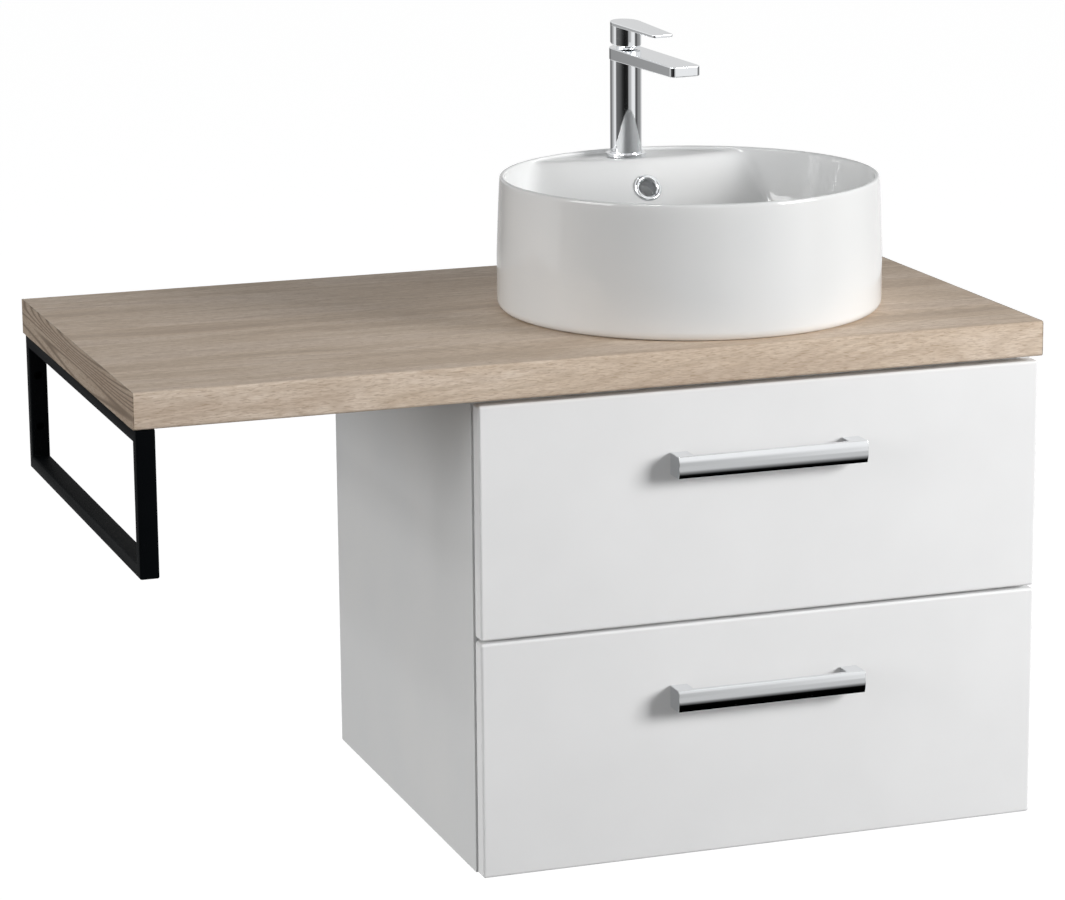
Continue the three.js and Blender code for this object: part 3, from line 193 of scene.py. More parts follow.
# The other cards fade along Y: each fade has its two places and the tones there.
floor_fade = (-1.35, -2.15, 0.0, 0.6)
room_fade = (-0.5, far_back, 0.02, 0.75)
for name, shape, fade in (("screen", screen, None), ("floor_cloth", cloth, floor_fade),
                          ("card_over", over, room_fade), ("card_behind", behind, room_fade)):
    card_mesh = bpy.data.meshes.new(name)
    shape.to_mesh(card_mesh)
    shape.free()
    paper, tree = new_material(name + "_paper")
    place = add_node(tree, "ShaderNodeTexCoord").outputs["Object"]
    spot = add_node(tree, "ShaderNodeSeparateXYZ", {"Vector": place})
    if fade:
        near, far, dark, light = fade
        tone = add_node(tree, "ShaderNodeMapRange", {"Value": spot.outputs["Y"], "From Min": near,
                                                     "From Max": far, "To Min": dark, "To Max": light})
    else:
        centred = add_node(tree, "ShaderNodeVectorMath", {0: place, 1: tap_spot}, operation="SUBTRACT")
        sweep = add_node(tree, "ShaderNodeTexGradient", {"Vector": centred.outputs[0]},
                         gradient_type="RADIAL")
        tones = add_node(tree, "ShaderNodeValToRGB", {"Fac": sweep.outputs["Fac"]}, stops=around_tones)
        foot = add_node(tree, "ShaderNodeMapRange", {"Value": spot.outputs["Z"], "From Min": foot_start,
                                                     "From Max": foot_end})
        low_tone = add_node(tree, "ShaderNodeMix", {"Factor": foot.outputs["Result"], "A": 0.6,
                                                    "B": tones.outputs["Color"]})
        head = add_node(tree, "ShaderNodeMapRange", {"Value": spot.outputs["Z"], "From Min": head_start,
                                                     "From Max": head_end})
        tone = add_node(tree, "ShaderNodeMix", {"Factor": head.outputs["Result"], "A": low_tone.outputs[0],
                                                "B": 1.0})
    glow = add_node(tree, "ShaderNodeEmission", {"Strength": tone.outputs[0]})
    add_node(tree, "ShaderNodeOutputMaterial", {"Surface": glow.outputs[0]})
    card_mesh.materials.append(paper)
    card = bpy.data.objects.new(name, card_mesh)
    card.visible_camera = False
    card.visible_diffuse = False
    card.visible_shadow = False
    bpy.context.scene.collection.objects.link(card)


# ------------------------------------------------------------------ cabinet boards
# Sixteen millimetre chipboard with a matt white melamine face and thin edge banding. The boards are
# cut square and their banded edges are barely broken, so each edge takes a narrow highlight.
def surface(tree, **inputs):
    """The shader of a plain finish, with its output node. Underscores stand for the spaces in input names."""
    named = {name.replace("_", " "): value for name, value in inputs.items()}
    shader = add_node(tree, "ShaderNodeBsdfPrincipled", named)
    add_node(tree, "ShaderNodeOutputMaterial", {"Surface": shader.outputs[0]})
    return shader


melamine, tree = new_material("matt_white_melamine")
place = add_node(tree, "ShaderNodeTexCoord").outputs["Object"]
# Melamine is pressed against a sheet with a fine pearl: about 1.2 mm from one bump to the next.
pearl = add_node(tree, "ShaderNodeTexNoise", {"Vector": place, "Scale": 1 / (1.2 * mm), "Detail": 2.0})
cloud = add_node(tree, "ShaderNodeTexNoise", {"Vector": place, "Scale": 1 / (160 * mm), "Detail": 3.0})
tone = add_node(tree, "ShaderNodeValToRGB", {"Fac": cloud.outputs["Fac"]},
                stops=[(0.3, "#e9eaea"), (0.7, "#eeeeed")])
sheen = add_node(tree, "ShaderNodeMapRange", {"Value": pearl.outputs["Fac"], "To Min": 0.42, "To Max": 0.56})
grain = add_node(tree, "ShaderNodeBump",
                 {"Height": pearl.outputs["Fac"], "Strength": 0.12, "Distance": 0.05 * mm})
surface(tree, Base_Color=tone.outputs["Color"], Roughness=sheen.outputs["Result"],
        Normal=grain.outputs["Normal"])

edge_break = 0.6 * mm


def board(low, high, edge=edge_break, segments=2):
    """A rectangular board between two corners, its edges rounded."""
    bm = bmesh.new()
    bmesh.ops.create_cube(bm, size=1)
    bmesh.ops.scale(bm, vec=Vector(high) - Vector(low), verts=bm.verts)
    bmesh.ops.translate(bm, vec=(Vector(high) + Vector(low)) / 2, verts=bm.verts)
    bmesh.ops.bevel(bm, geom=bm.edges[:], offset=edge, segments=segments, profile=0.5, affect="EDGES",
                    material=-1)
    return bm


def keep(name, bm, finish, body, *stands_for, slot=None, crease=35):
    """Makes a piece of the shape, smooth up to the crease angle, and fixes it to its CAD body."""
    bmesh.ops.remove_doubles(bm, verts=bm.verts, dist=1e-6)
    bmesh.ops.recalc_face_normals(bm, faces=bm.faces)
    mesh = bpy.data.meshes.new(name)
    bm.to_mesh(mesh)
    bm.free()
    mesh.shade_smooth()
    mesh.set_sharp_from_angle(angle=math.radians(crease))
    mesh.materials.append(finish)
    made = bpy.data.objects.new(name, mesh)
    bpy.context.scene.collection.objects.link(made)
    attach(made, body)
    if stands_for:
        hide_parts(*stands_for)
    return made


def weigh(made):
    """Lets a board's wide faces shade flat beside their rounded edges."""
    modifier = made.modifiers.new("flat_faces", "WEIGHTED_NORMAL")
    modifier.keep_sharp = True
    return made


def coat(finish, *names):
    """Gives CAD nodes that are shown as they are a finish."""
    for name in names:
        nodes[name].data.materials.clear()
        nodes[name].data.materials.append(finish)


for node in ("side_panel_left", "side_panel_right", "bottom_panel", "front_rail", "rear_rail_lower"):
    low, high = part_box(node)
    weigh(keep(node + "_board", board(low, high), melamine, "vanity", node, slot="carcass_board"))
coat(melamine, "hanging_rail")


# ------------------------------------------------------------------ hangers and runners
# Pressed and roll-formed steel with a bright zinc plating: a cool grey with a faint crystal mottle and
# a satin shine. The hangers carry the cabinet's weight and the runners carry the drawers.
zinc, tree = new_material("bright_zinc_plated_steel")
place = add_node(tree, "ShaderNodeTexCoord").outputs["Object"]
# Zinc crystals show as patches about 4 mm wide.
crystal = add_node(tree, "ShaderNodeTexVoronoi", {"Vector": place, "Scale": 1 / (4 * mm)})
tone = add_node(tree, "ShaderNodeValToRGB", {"Fac": crystal.outputs["Distance"]},
                stops=[(0.0, "#b7babd"), (0.8, "#c6c8ca")])
# Rolling marks run along Y, thinner than a millimetre and about 50 mm long.
drag = add_node(tree, "ShaderNodeMapping", {"Vector": place, "Scale": (1500, 20, 1500)})
rolled = add_node(tree, "ShaderNodeTexNoise", {"Vector": drag.outputs["Vector"], "Scale": 1.0, "Detail": 2.0})
sheen = add_node(tree, "ShaderNodeMapRange", {"Value": rolled.outputs["Fac"], "To Min": 0.28, "To Max": 0.42})
surface(tree, Base_Color=tone.outputs["Color"], Metallic=1.0, Roughness=sheen.outputs["Result"])

coat(zinc, "hanger_left", "hanger_right", "tap_stud", "tap_clamp_plate")
for drawer in ("upper_drawer", "lower_drawer"):
    for member in ("cabinet_member", "middle_member", "drawer_member"):
        coat(zinc, f"{drawer}_{member}_left", f"{drawer}_{member}_right")


# ------------------------------------------------------------------ worktop
# A 36 mm chipboard slab wrapped in light oak laminate, formed over the front edges, with the grain
# running along its length. Each sawn end has its own thin band, whose grain runs front to back.
def oak(name, along, seed, tones, line_depth):
    """Brushed oak laminate. along is the print's scale on each axis, smallest along the grain, and line_depth
    is how dark its rings are. The fine and the broad forms are each drawn out less than along says."""
    made, tree = new_material(name)
    place = add_node(tree, "ShaderNodeTexCoord").outputs["Object"]
    shifted = add_node(tree, "ShaderNodeMapping", {"Vector": place, "Location": seed}).outputs["Vector"]
    bent = add_node(tree, "ShaderNodeTexNoise", {"Vector": shifted, "Scale": 1 / (45 * mm), "Detail": 4.0,
                                                 "Roughness": 0.6})
    stray = 4 * mm
    wander = add_node(tree, "ShaderNodeVectorMath", {0: bent.outputs["Color"], 1: (stray, stray, stray)},
                      operation="MULTIPLY")
    wavy = add_node(tree, "ShaderNodeVectorMath", {0: shifted, 1: wander.outputs[0]}).outputs[0]
    fibre_factor, broad_factor, ring_turns = 2.2, 2.4, 190.0
    short = [min(1.0, fibre_factor * a) for a in along]
    fine = add_node(tree, "ShaderNodeMapping", {"Vector": wavy, "Scale": short}).outputs["Vector"]
    broad = [min(1.0, broad_factor * a) for a in along]
    long_form = add_node(tree, "ShaderNodeMapping", {"Vector": shifted, "Scale": broad}).outputs["Vector"]
    # The print has soft clouds about 40 mm wide, rings a few millimetres apart that close into long arches,
    # fibres of about 1.2 mm and pores as short wavy dashes of about 0.9 mm.
    clouds = add_node(tree, "ShaderNodeTexNoise",
                      {"Vector": long_form, "Scale": 1 / (40 * mm), "Detail": 3.0})
    arch = add_node(tree, "ShaderNodeTexNoise", {"Vector": long_form, "Scale": 1 / (75 * mm), "Detail": 1.0,
                                                 "Distortion": 0.3})
    ring_count = add_node(tree, "ShaderNodeMath", {0: arch.outputs["Fac"], 1: ring_turns},
                          operation="MULTIPLY")
    ring = add_node(tree, "ShaderNodeMath", {0: ring_count.outputs[0]}, operation="SINE")
    late_wood = add_node(tree, "ShaderNodeMapRange", {"Value": ring.outputs[0], "From Min": -0.1,
                                                      "From Max": 1.0, "To Min": 0.0, "To Max": line_depth})
    fibres = add_node(tree, "ShaderNodeTexNoise", {"Vector": fine, "Scale": 1 / (1.2 * mm), "Detail": 3.0})
    pores = add_node(tree, "ShaderNodeTexNoise", {"Vector": fine, "Scale": 1 / (0.9 * mm), "Detail": 1.0})
    cloud_tone = add_node(tree, "ShaderNodeValToRGB", {"Fac": clouds.outputs["Fac"]}, stops=tones["clouds"])
    fibre_tone = add_node(tree, "ShaderNodeValToRGB", {"Fac": fibres.outputs["Fac"]},
                          stops=[(0.3, "#d6c9bb"), (0.62, "#ffffff")])
    # A colour Mix takes its two colours at sockets 6 and 7, and gives its result at output 2.
    woven = add_node(tree, "ShaderNodeMix", {"Factor": 0.55, 6: cloud_tone.outputs["Color"],
                                             7: fibre_tone.outputs["Color"]},
                     data_type="RGBA", blend_type="MULTIPLY")
    ringed = add_node(tree, "ShaderNodeMix", {"Factor": late_wood.outputs["Result"], 6: woven.outputs[2],
                                              7: linear(tones["ring"])}, data_type="RGBA")
    pore_mask = add_node(tree, "ShaderNodeMapRange", {"Value": pores.outputs["Fac"], "From Min": 0.57,
                                                      "From Max": 0.68, "To Min": 0.0, "To Max": 0.5})
    dashed = add_node(tree, "ShaderNodeMix", {"Factor": pore_mask.outputs["Result"], 6: ringed.outputs[2],
                                              7: linear(tones["pore"])}, data_type="RGBA")
    sheen = add_node(tree, "ShaderNodeMapRange",
                     {"Value": fibres.outputs["Fac"], "To Min": 0.56, "To Max": 0.7})
    sunk = add_node(tree, "ShaderNodeMath", {0: fibres.outputs["Fac"], 1: pore_mask.outputs["Result"]},
                    operation="SUBTRACT")
    relief = add_node(tree, "ShaderNodeBump",
                      {"Height": sunk.outputs[0], "Strength": 0.25, "Distance": 0.1 * mm})
    surface(tree, Base_Color=dashed.outputs[2], Roughness=sheen.outputs["Result"],
            Normal=relief.outputs["Normal"], Specular_IOR_Level=0.15)
    return made


face_tones = {"clouds": [(0.3, "#d0bdaa"), (0.45, "#dfcdb9"), (0.58, "#e9d9c8"), (0.72, "#d6c3b0")],
              "ring": "#ab947d", "pore": "#a98e76"}
end_tones = {"clouds": [(0.3, "#a39281"), (0.5, "#b0a08f"), (0.7, "#a89786")],
             "ring": "#5c4c3d", "pore": "#6e5d4d"}
oak_along = oak("light_oak_laminate", (0.05, 1, 1), (0, 0, 0), face_tones, 0.22)
oak_end = oak("light_oak_end_band", (1, 0.042, 1), (0.4, 0.7, 0.2), end_tones, 0.75)


def rest_of(bm, *cutters):
    """The closed shape less the closed shapes of the cutters."""
    made = []
    for shape in (bm, *cutters):
        mesh = bpy.data.meshes.new("cut")
        bmesh.ops.recalc_face_normals(shape, faces=shape.faces)
        shape.to_mesh(mesh)
        shape.free()
        made.append(bpy.data.objects.new("cut", mesh))
        bpy.context.scene.collection.objects.link(made[-1])
    for cutter in made[1:]:
        modifier = made[0].modifiers.new("cut", "BOOLEAN")
        modifier.solver = "EXACT"
        modifier.object = cutter
        modifier.operation = "DIFFERENCE"
    bpy.context.view_layer.update()
    result = bmesh.new()
    result.from_object(made[0], bpy.context.evaluated_depsgraph_get())
    for item in made:
        mesh = item.data
        bpy.data.objects.remove(item)
        bpy.data.meshes.remove(mesh)
    return result


def rod(radius, start, end, segments=64):
    """A round bar between two points."""
    bm = bmesh.new()
    axis = Vector(end) - Vector(start)
    bmesh.ops.create_cone(bm, cap_ends=True, segments=segments, radius1=radius, radius2=radius,
                          depth=axis.length)
    facing = axis.to_track_quat("Z", "Y").to_matrix().to_4x4()
    middle = (Vector(start) + Vector(end)) / 2
    bmesh.ops.transform(bm, matrix=Matrix.Translation(middle) @ facing, verts=bm.verts)
    return bm


band = 0.8 * mm
nose = 3 * mm
low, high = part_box("worktop")
basin_low, basin_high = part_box("basin")
basin_y = (basin_low.y + basin_high.y) / 2
tap = sum(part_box("tap_base_ring"), Vector()) / 2


def slab(left, right):
    """A length of the worktop between two places, with rounded long front edges."""
    bm = bmesh.new()
    bmesh.ops.create_cube(bm, size=1)
    bmesh.ops.scale(bm, vec=(right - left, high.y - low.y, high.z - low.z), verts=bm.verts)
    bmesh.ops.translate(bm, vec=((left + right) / 2, (low.y + high.y) / 2, (low.z + high.z) / 2),
                        verts=bm.verts)
    front = [e for e in bm.edges if all(v.co.y < low.y + mm for v in e.verts)
             and abs(e.verts[0].co.z - e.verts[1].co.z) < mm]
    bmesh.ops.bevel(bm, geom=front, offset=nose, segments=6, profile=0.5, affect="EDGES", material=-1)
    return bm


waste_radius, hose_radius, through = 30 * mm, 24 * mm, 10 * mm
waste_hole = rod(waste_radius, (0, basin_y, low.z - through), (0, basin_y, high.z + through))
hose_hole = rod(hose_radius, (tap.x, tap.y, low.z - through), (tap.x, tap.y, high.z + through))
main_slab = rest_of(slab(low.x + band, high.x - band), waste_hole, hose_hole)
keep("worktop_slab", main_slab, oak_along, "vanity", "worktop", slot="oak_laminate")
keep("worktop_band_left", slab(low.x, low.x + band), oak_end, "vanity", slot="oak_laminate")
keep("worktop_band_right", slab(high.x - band, high.x), oak_end, "vanity", slot="oak_laminate")


# ------------------------------------------------------------------ loop bracket
# Rectangular steel tube welded into a loop, its welds ground flush, in a satin black powder coat with a
# fine pebbled skin. Two holes through the rear upright take the wall screws.
powder, tree = new_material("satin_black_powder_coat")
place = add_node(tree, "ShaderNodeTexCoord").outputs["Object"]
# The pebbles of a powder coat are about 0.9 mm apart.
pebble = add_node(tree, "ShaderNodeTexNoise", {"Vector": place, "Scale": 1 / (0.9 * mm), "Detail": 2.0})
wide = add_node(tree, "ShaderNodeTexNoise", {"Vector": place, "Scale": 1 / (60 * mm), "Detail": 2.0})
tone = add_node(tree, "ShaderNodeValToRGB", {"Fac": wide.outputs["Fac"]},
                stops=[(0.3, "#07090b"), (0.7, "#0b0d0f")])
sheen = add_node(tree, "ShaderNodeMapRange", {"Value": wide.outputs["Fac"], "To Min": 0.48, "To Max": 0.6})
skin = add_node(tree, "ShaderNodeBump",
                {"Height": pebble.outputs["Fac"], "Strength": 0.2, "Distance": 0.06 * mm})
surface(tree, Base_Color=tone.outputs["Color"], Roughness=sheen.outputs["Result"],
        Normal=skin.outputs["Normal"], Specular_IOR_Level=0.015)

low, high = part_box("wall_bracket")
tube, tube_edge = 14 * mm, 1.9 * mm
bm = bmesh.new()
corners = [bm.verts.new((low.x, y, z)) for y, z in
           ((low.y, low.z), (high.y, low.z), (high.y, high.z), (low.y, high.z))]
loop_face = bm.faces.new(corners)
loop_face.normal_update()
bmesh.ops.inset_region(bm, faces=[loop_face], thickness=tube, use_even_offset=True, use_boundary=True)
bmesh.ops.delete(bm, geom=[loop_face], context="FACES_ONLY")
raised = bmesh.ops.extrude_face_region(bm, geom=bm.faces[:])
moved = [v for v in raised["geom"] if isinstance(v, bmesh.types.BMVert)]
bmesh.ops.translate(bm, vec=(high.x - low.x, 0, 0), verts=moved)
bmesh.ops.recalc_face_normals(bm, faces=bm.faces)
sharp = [e for e in bm.edges if len(e.link_faces) == 2 and e.calc_face_angle() > 0.5]
bmesh.ops.bevel(bm, geom=sharp, offset=tube_edge, segments=4, profile=0.5, affect="EDGES", material=-1)
middle_x = (low.x + high.x) / 2
screw_radius, hole_start, hole_end = 4.5 * mm, -tube - 5 * mm, -tube + 9 * mm
screw_holes = [rod(screw_radius, (middle_x, hole_start, high.z - drop), (middle_x, hole_end, high.z - drop))
               for drop in (44 * mm, 99 * mm)]
keep("bracket_loop", rest_of(bm, *screw_holes), powder, "vanity", "wall_bracket", slot="black_steel")


# ------------------------------------------------------------------ drawer boxes
# Twelve millimetre boards in light grey melamine on the two steel runners. The upper box has a moulded
# plastic wall round the notch that clears the trap.
linen, tree = new_material("light_grey_linen_melamine")
place = add_node(tree, "ShaderNodeTexCoord").outputs["Object"]
# The linen print has a thread about every 0.7 mm, drawn at 1.4 mm so that it shows.
pitch, run = 700, 90
lengthways = add_node(tree, "ShaderNodeMapping", {"Vector": place, "Scale": (pitch, run, run)})
crossways = add_node(tree, "ShaderNodeMapping", {"Vector": place, "Scale": (run, pitch, pitch)})
warp = add_node(tree, "ShaderNodeTexNoise",
                {"Vector": lengthways.outputs["Vector"], "Scale": 1.0, "Detail": 1.0})
weft = add_node(tree, "ShaderNodeTexNoise",
                {"Vector": crossways.outputs["Vector"], "Scale": 1.0, "Detail": 1.0})
threads = add_node(tree, "ShaderNodeMath", {0: warp.outputs["Fac"], 1: weft.outputs["Fac"]},
                   operation="MULTIPLY")
tone = add_node(tree, "ShaderNodeValToRGB", {"Fac": threads.outputs[0]},
                stops=[(0.12, "#c9c7c2"), (0.4, "#dddbd7")])
relief = add_node(tree, "ShaderNodeBump",
                  {"Height": threads.outputs[0], "Strength": 0.2, "Distance": 0.05 * mm})
surface(tree, Base_Color=tone.outputs["Color"], Roughness=0.5, Normal=relief.outputs["Normal"])

boxes = {
    "upper_drawer": ("side_left", "side_right", "back_left", "back_right"),
    "lower_drawer": ("side_left", "side_right", "bottom", "back"),
}
for drawer, parts in boxes.items():
    for part in parts:
        node = f"{drawer}_{part}"
        low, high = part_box(node)
        weigh(keep(node + "_board", board(low, high), linen, drawer, node, slot="drawer_board"))
coat(linen, "upper_drawer_bottom")

moulded, tree = new_material("grey_moulded_polypropylene")
place = add_node(tree, "ShaderNodeTexCoord").outputs["Object"]
spark = add_node(tree, "ShaderNodeTexNoise", {"Vector": place, "Scale": 1 / (0.6 * mm), "Detail": 1.0})
tone = add_node(tree, "ShaderNodeValToRGB", {"Fac": spark.outputs["Fac"]},
                stops=[(0.3, "#8b8f92"), (0.7, "#94989b")])
relief = add_node(tree, "ShaderNodeBump",
                  {"Height": spark.outputs["Fac"], "Strength": 0.25, "Distance": 0.05 * mm})
surface(tree, Base_Color=tone.outputs["Color"], Roughness=0.5, Normal=relief.outputs["Normal"])
coat(moulded, "upper_drawer_trap_recess")


# ------------------------------------------------------------------ drawer fronts
# Nineteen millimetre fibreboard, its edges rounded to about 3 mm, under a sprayed gloss white lacquer.
# The lacquer has a trace of orange peel, so long reflections waver a little.
lacquer, tree = new_material("gloss_white_lacquer")
place = add_node(tree, "ShaderNodeTexCoord").outputs["Object"]
# Orange peel has a pitch of about 3 mm, over a slow swell of about 90 mm.
peel = add_node(tree, "ShaderNodeTexNoise", {"Vector": place, "Scale": 1 / (3 * mm), "Detail": 1.0})
swell = add_node(tree, "ShaderNodeTexNoise", {"Vector": place, "Scale": 1 / (90 * mm), "Detail": 2.0})
tone = add_node(tree, "ShaderNodeValToRGB", {"Fac": swell.outputs["Fac"]},
                stops=[(0.3, "#f7f7f7"), (0.7, "#fafafa")])
sheen = add_node(tree, "ShaderNodeMapRange", {"Value": swell.outputs["Fac"], "To Min": 0.16, "To Max": 0.24})
relief = add_node(tree, "ShaderNodeBump",
                  {"Height": peel.outputs["Fac"], "Strength": 0.05, "Distance": 0.05 * mm})
surface(tree, Base_Color=tone.outputs["Color"], Roughness=sheen.outputs["Result"], IOR=1.5,
        Normal=relief.outputs["Normal"])

front_edge = 2.8 * mm
for drawer in boxes:
    node = drawer + "_front"
    low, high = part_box(node)
    panel = board(low, high, front_edge, segments=6)
    weigh(keep(node + "_panel", panel, lacquer, drawer, node, slot="gloss_lacquer"))


# ------------------------------------------------------------------ handles
# Zinc die castings in polished chrome, each a flat bar with a crowned front and a post at each end,
# screwed on from inside the drawer.
def polished(name, colour, rough):
    """Chrome plating on a polished casting: a cool mirror with faint polishing haze."""
    made, tree = new_material(name)
    place = add_node(tree, "ShaderNodeTexCoord").outputs["Object"]
    haze = add_node(tree, "ShaderNodeTexNoise", {"Vector": place, "Scale": 1 / (12 * mm), "Detail": 4.0})
    lines = add_node(tree, "ShaderNodeTexNoise", {"Vector": place, "Scale": 1 / (0.5 * mm), "Detail": 1.0})
    sheen = add_node(tree, "ShaderNodeMapRange", {"Value": haze.outputs["Fac"], "To Min": rough * 0.7,
                                                  "To Max": rough * 1.3})
    relief = add_node(tree, "ShaderNodeBump", {"Height": lines.outputs["Fac"], "Strength": 0.01,
                                               "Distance": 0.02 * mm})
    surface(tree, Base_Color=linear(colour), Metallic=1.0, Roughness=sheen.outputs["Result"],
            Normal=relief.outputs["Normal"])
    return made


handle_chrome = polished("polished_chrome_casting", "#eaecee", 0.08)
crown, corner, bar_depth, post, post_edge = 1.05 * mm, 0.9 * mm, 7 * mm, 18 * mm, 0.5 * mm
for drawer in boxes:
    low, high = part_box(drawer + "_handle")
    middle_z = (low.z + high.z) / 2
    reach = (high.z - low.z) / 2
    bar_back = low.y + bar_depth
    bm = bmesh.new()
    # The bar's section, drawn once at the left end and then pulled along the bar.
    inner = reach - corner
    front = [(low.y + 2 * crown * (z / reach) ** 2, z) for z in np.linspace(-inner, inner, 21)]
    edge_y = front[-1][0] + corner
    turned = [(edge_y - corner * math.cos(a), inner + corner * math.sin(a))
              for a in np.linspace(0.5, math.pi / 2, 5)]
    section = ([(bar_back, -reach)] + [(y, -z) for y, z in reversed(turned)] + front + turned
               + [(bar_back, reach)])
    end_face = bm.faces.new([bm.verts.new((low.x, y, middle_z + z)) for y, z in section])
    face = end_face
    for length in (post, high.x - low.x - 2 * post, post):
        pulled = bmesh.ops.extrude_face_region(bm, geom=[face])
        verts = [v for v in pulled["geom"] if isinstance(v, bmesh.types.BMVert)]
        bmesh.ops.translate(bm, vec=(length, 0, 0), verts=verts)
        new_face = [f for f in pulled["geom"] if isinstance(f, bmesh.types.BMFace)][0]
        if face is not end_face:
            bm.faces.remove(face)
        face = new_face
    bmesh.ops.recalc_face_normals(bm, faces=bm.faces)
    # The posts are pushed out of the bar's back, one at each end.
    ends = [f for f in bm.faces if all(abs(v.co.y - bar_back) < 1e-6 for v in f.verts)
            and (f.calc_center_median().x < low.x + post or f.calc_center_median().x > high.x - post)]
    for f in ends:
        pushed = bmesh.ops.extrude_discrete_faces(bm, faces=[f])
        verts = {v for g in pushed["faces"] for v in g.verts}
        bmesh.ops.translate(bm, vec=(0, high.y - bar_back, 0), verts=list(verts))
    bmesh.ops.remove_doubles(bm, verts=bm.verts, dist=1e-6)
    bmesh.ops.recalc_face_normals(bm, faces=bm.faces)
    sharp = [e for e in bm.edges if len(e.link_faces) == 2 and e.calc_face_angle() > 0.6]
    bmesh.ops.bevel(bm, geom=sharp, offset=post_edge, segments=3, profile=0.5, affect="EDGES", material=-1,
                    clamp_overlap=True)
    bar = weigh(keep(drawer + "_bar", bm, handle_chrome, drawer, drawer + "_handle", slot="handle_chrome",
                     crease=30))
    # The chrome throws no bright patches of the lamps' light onto the lacquer behind it.
    bar.visible_diffuse = False


# ------------------------------------------------------------------ basin
# Vitreous china, cast in one piece and dipped in a white glaze that softens every edge. The bowl's back
# is a raised deck for the tap, and its front slopes down into the bowl and holds the overflow.
glaze, tree = new_material("white_vitreous_glaze")
place = add_node(tree, "ShaderNodeTexCoord").outputs["Object"]
# A fired glaze pulls into slow waves of about 35 mm, and its tone drifts over the piece.
wave = add_node(tree, "ShaderNodeTexNoise", {"Vector": place, "Scale": 1 / (35 * mm), "Detail": 1.0})
drift = add_node(tree, "ShaderNodeTexNoise", {"Vector": place, "Scale": 1 / (140 * mm), "Detail": 2.0})
tone = add_node(tree, "ShaderNodeValToRGB", {"Fac": drift.outputs["Fac"]},
                stops=[(0.3, "#eaebeb"), (0.7, "#efefee")])
sheen = add_node(tree, "ShaderNodeMapRange", {"Value": drift.outputs["Fac"], "To Min": 0.05, "To Max": 0.09})
relief = add_node(tree, "ShaderNodeBump",
                  {"Height": wave.outputs["Fac"], "Strength": 0.04, "Distance": 0.4 * mm})
surface(tree, Base_Color=tone.outputs["Color"], Roughness=sheen.outputs["Result"], IOR=1.52,
        Normal=relief.outputs["Normal"])

# The bowl's forms, in millimetres from the basin's foot and axis: a gently dished floor, a quarter ellipse
# from there into the wall, a rim, and the cone about a far axis that the deck's sloping front follows.
base = basin_low.z
deck_top = 132.5
waste_reach, waste_top, floor_reach, floor_rise, floor_edge = 34, 26, 108, 4, 29.5
curve_foot, curve_top, curve_reach = 30, 98, 186
rim_reach, rim_foot, rim_top, straight_rise = 190, 134, 136.5, 33.5
cone_far, cone_sweep, deck_slope = 585.0, 448, 0.62
blend_width, blend_depth = 16, 4
steps = 240


def wall_radius(z):
    """The bowl's inside radius at a height above the basin's foot."""
    if z < curve_top:
        up = 1 - (1 - (z - curve_foot) / (curve_top - curve_foot)) ** 2
        return floor_reach + (curve_reach - floor_reach) * math.sqrt(max(0.0, up))
    return curve_reach + (rim_reach - curve_reach) * min(1.0, (z - curve_top) / straight_rise)


def deck_radius(z, around):
    """How far the deck's sloping front stands from the bowl's axis, or a great distance beside the deck."""
    sweep = cone_sweep + (deck_top - z) * deck_slope
    side = cone_far * math.sin(around)
    if math.cos(around) <= 0 or sweep <= abs(side):
        return 1e3
    return cone_far * math.cos(around) - math.sqrt(sweep ** 2 - side ** 2)


def inside_line(around, count):
    """The bowl's inside from the waste up to the rim, in evenly spaced points. around is 0 at the back."""
    reach = min(float(floor_reach), deck_radius(floor_edge, around))
    dish = [waste_reach + (reach - waste_reach) * i / 40 for i in range(41)]
    line = [(r, waste_top + floor_rise * r / floor_reach) for r in dish]
    start = line[-1][1]
    for i in range(1, 121):
        z = start + (deck_top - start) * i / 120
        a, b = wall_radius(max(z, curve_foot)), deck_radius(z, around)
        soft = max(0.0, 1 - abs(a - b) / blend_width)
        line.append((min(a, b) - soft * soft * blend_depth, z))
    edge = line[-1][0]
    if edge < curve_reach:
        line += [(edge + (rim_reach - edge) * i / 30, deck_top) for i in range(1, 31)]
    line.append((rim_reach, rim_foot))
    points = np.array(line)
    along = np.concatenate([[0], np.cumsum(np.hypot(*np.diff(points, axis=0).T))])
    even = np.linspace(0, along[-1], count)
    return np.column_stack([np.interp(even, along, points[:, k]) for k in (0, 1)])


# The whole section is spun first with the plain bowl, and then its inside is drawn onto the true bowl.
count = 110
plain = inside_line(math.pi, count)
lip, outer, flare, foot_round = 2.4, 198.5, 3.5, 9.5
rim = [(rim_reach + lip - lip * math.cos(a), rim_top - lip + lip * math.sin(a))
       for a in np.linspace(0.3, math.pi - 0.2, 9)]
outside = [(outer - flare, 132)] + [(outer - flare + flare * t ** 0.8, 132 - 77 * t)
                                    for t in np.linspace(0.1, 1, 9)]
outside += [(outer, 40), (outer, 24), (outer, foot_round)]
outside += [(outer - foot_round + foot_round * math.cos(a), foot_round - foot_round * math.sin(a))
            for a in np.linspace(0.2, math.pi / 2, 8)]
foot = [(178, 0.0), (176, 2), (176, 12), (24, 12), (20.1, 12), (20.1, 22.8), (33.3, 22.8), (33.3, 25.7)]
profile = [tuple(p) for p in plain] + rim + outside + foot
bm = bmesh.new()
line = [bm.verts.new((0, r * mm, z * mm)) for r, z in profile]
edges = [bm.edges.new((line[i], line[(i + 1) % len(line)])) for i in range(len(line))]
bmesh.ops.spin(bm, geom=line + edges, cent=(0, 0, 0), axis=(0, 0, 1), dvec=(0, 0, 0), angle=2 * math.pi,
               steps=steps, use_merge=True, use_duplicate=False)

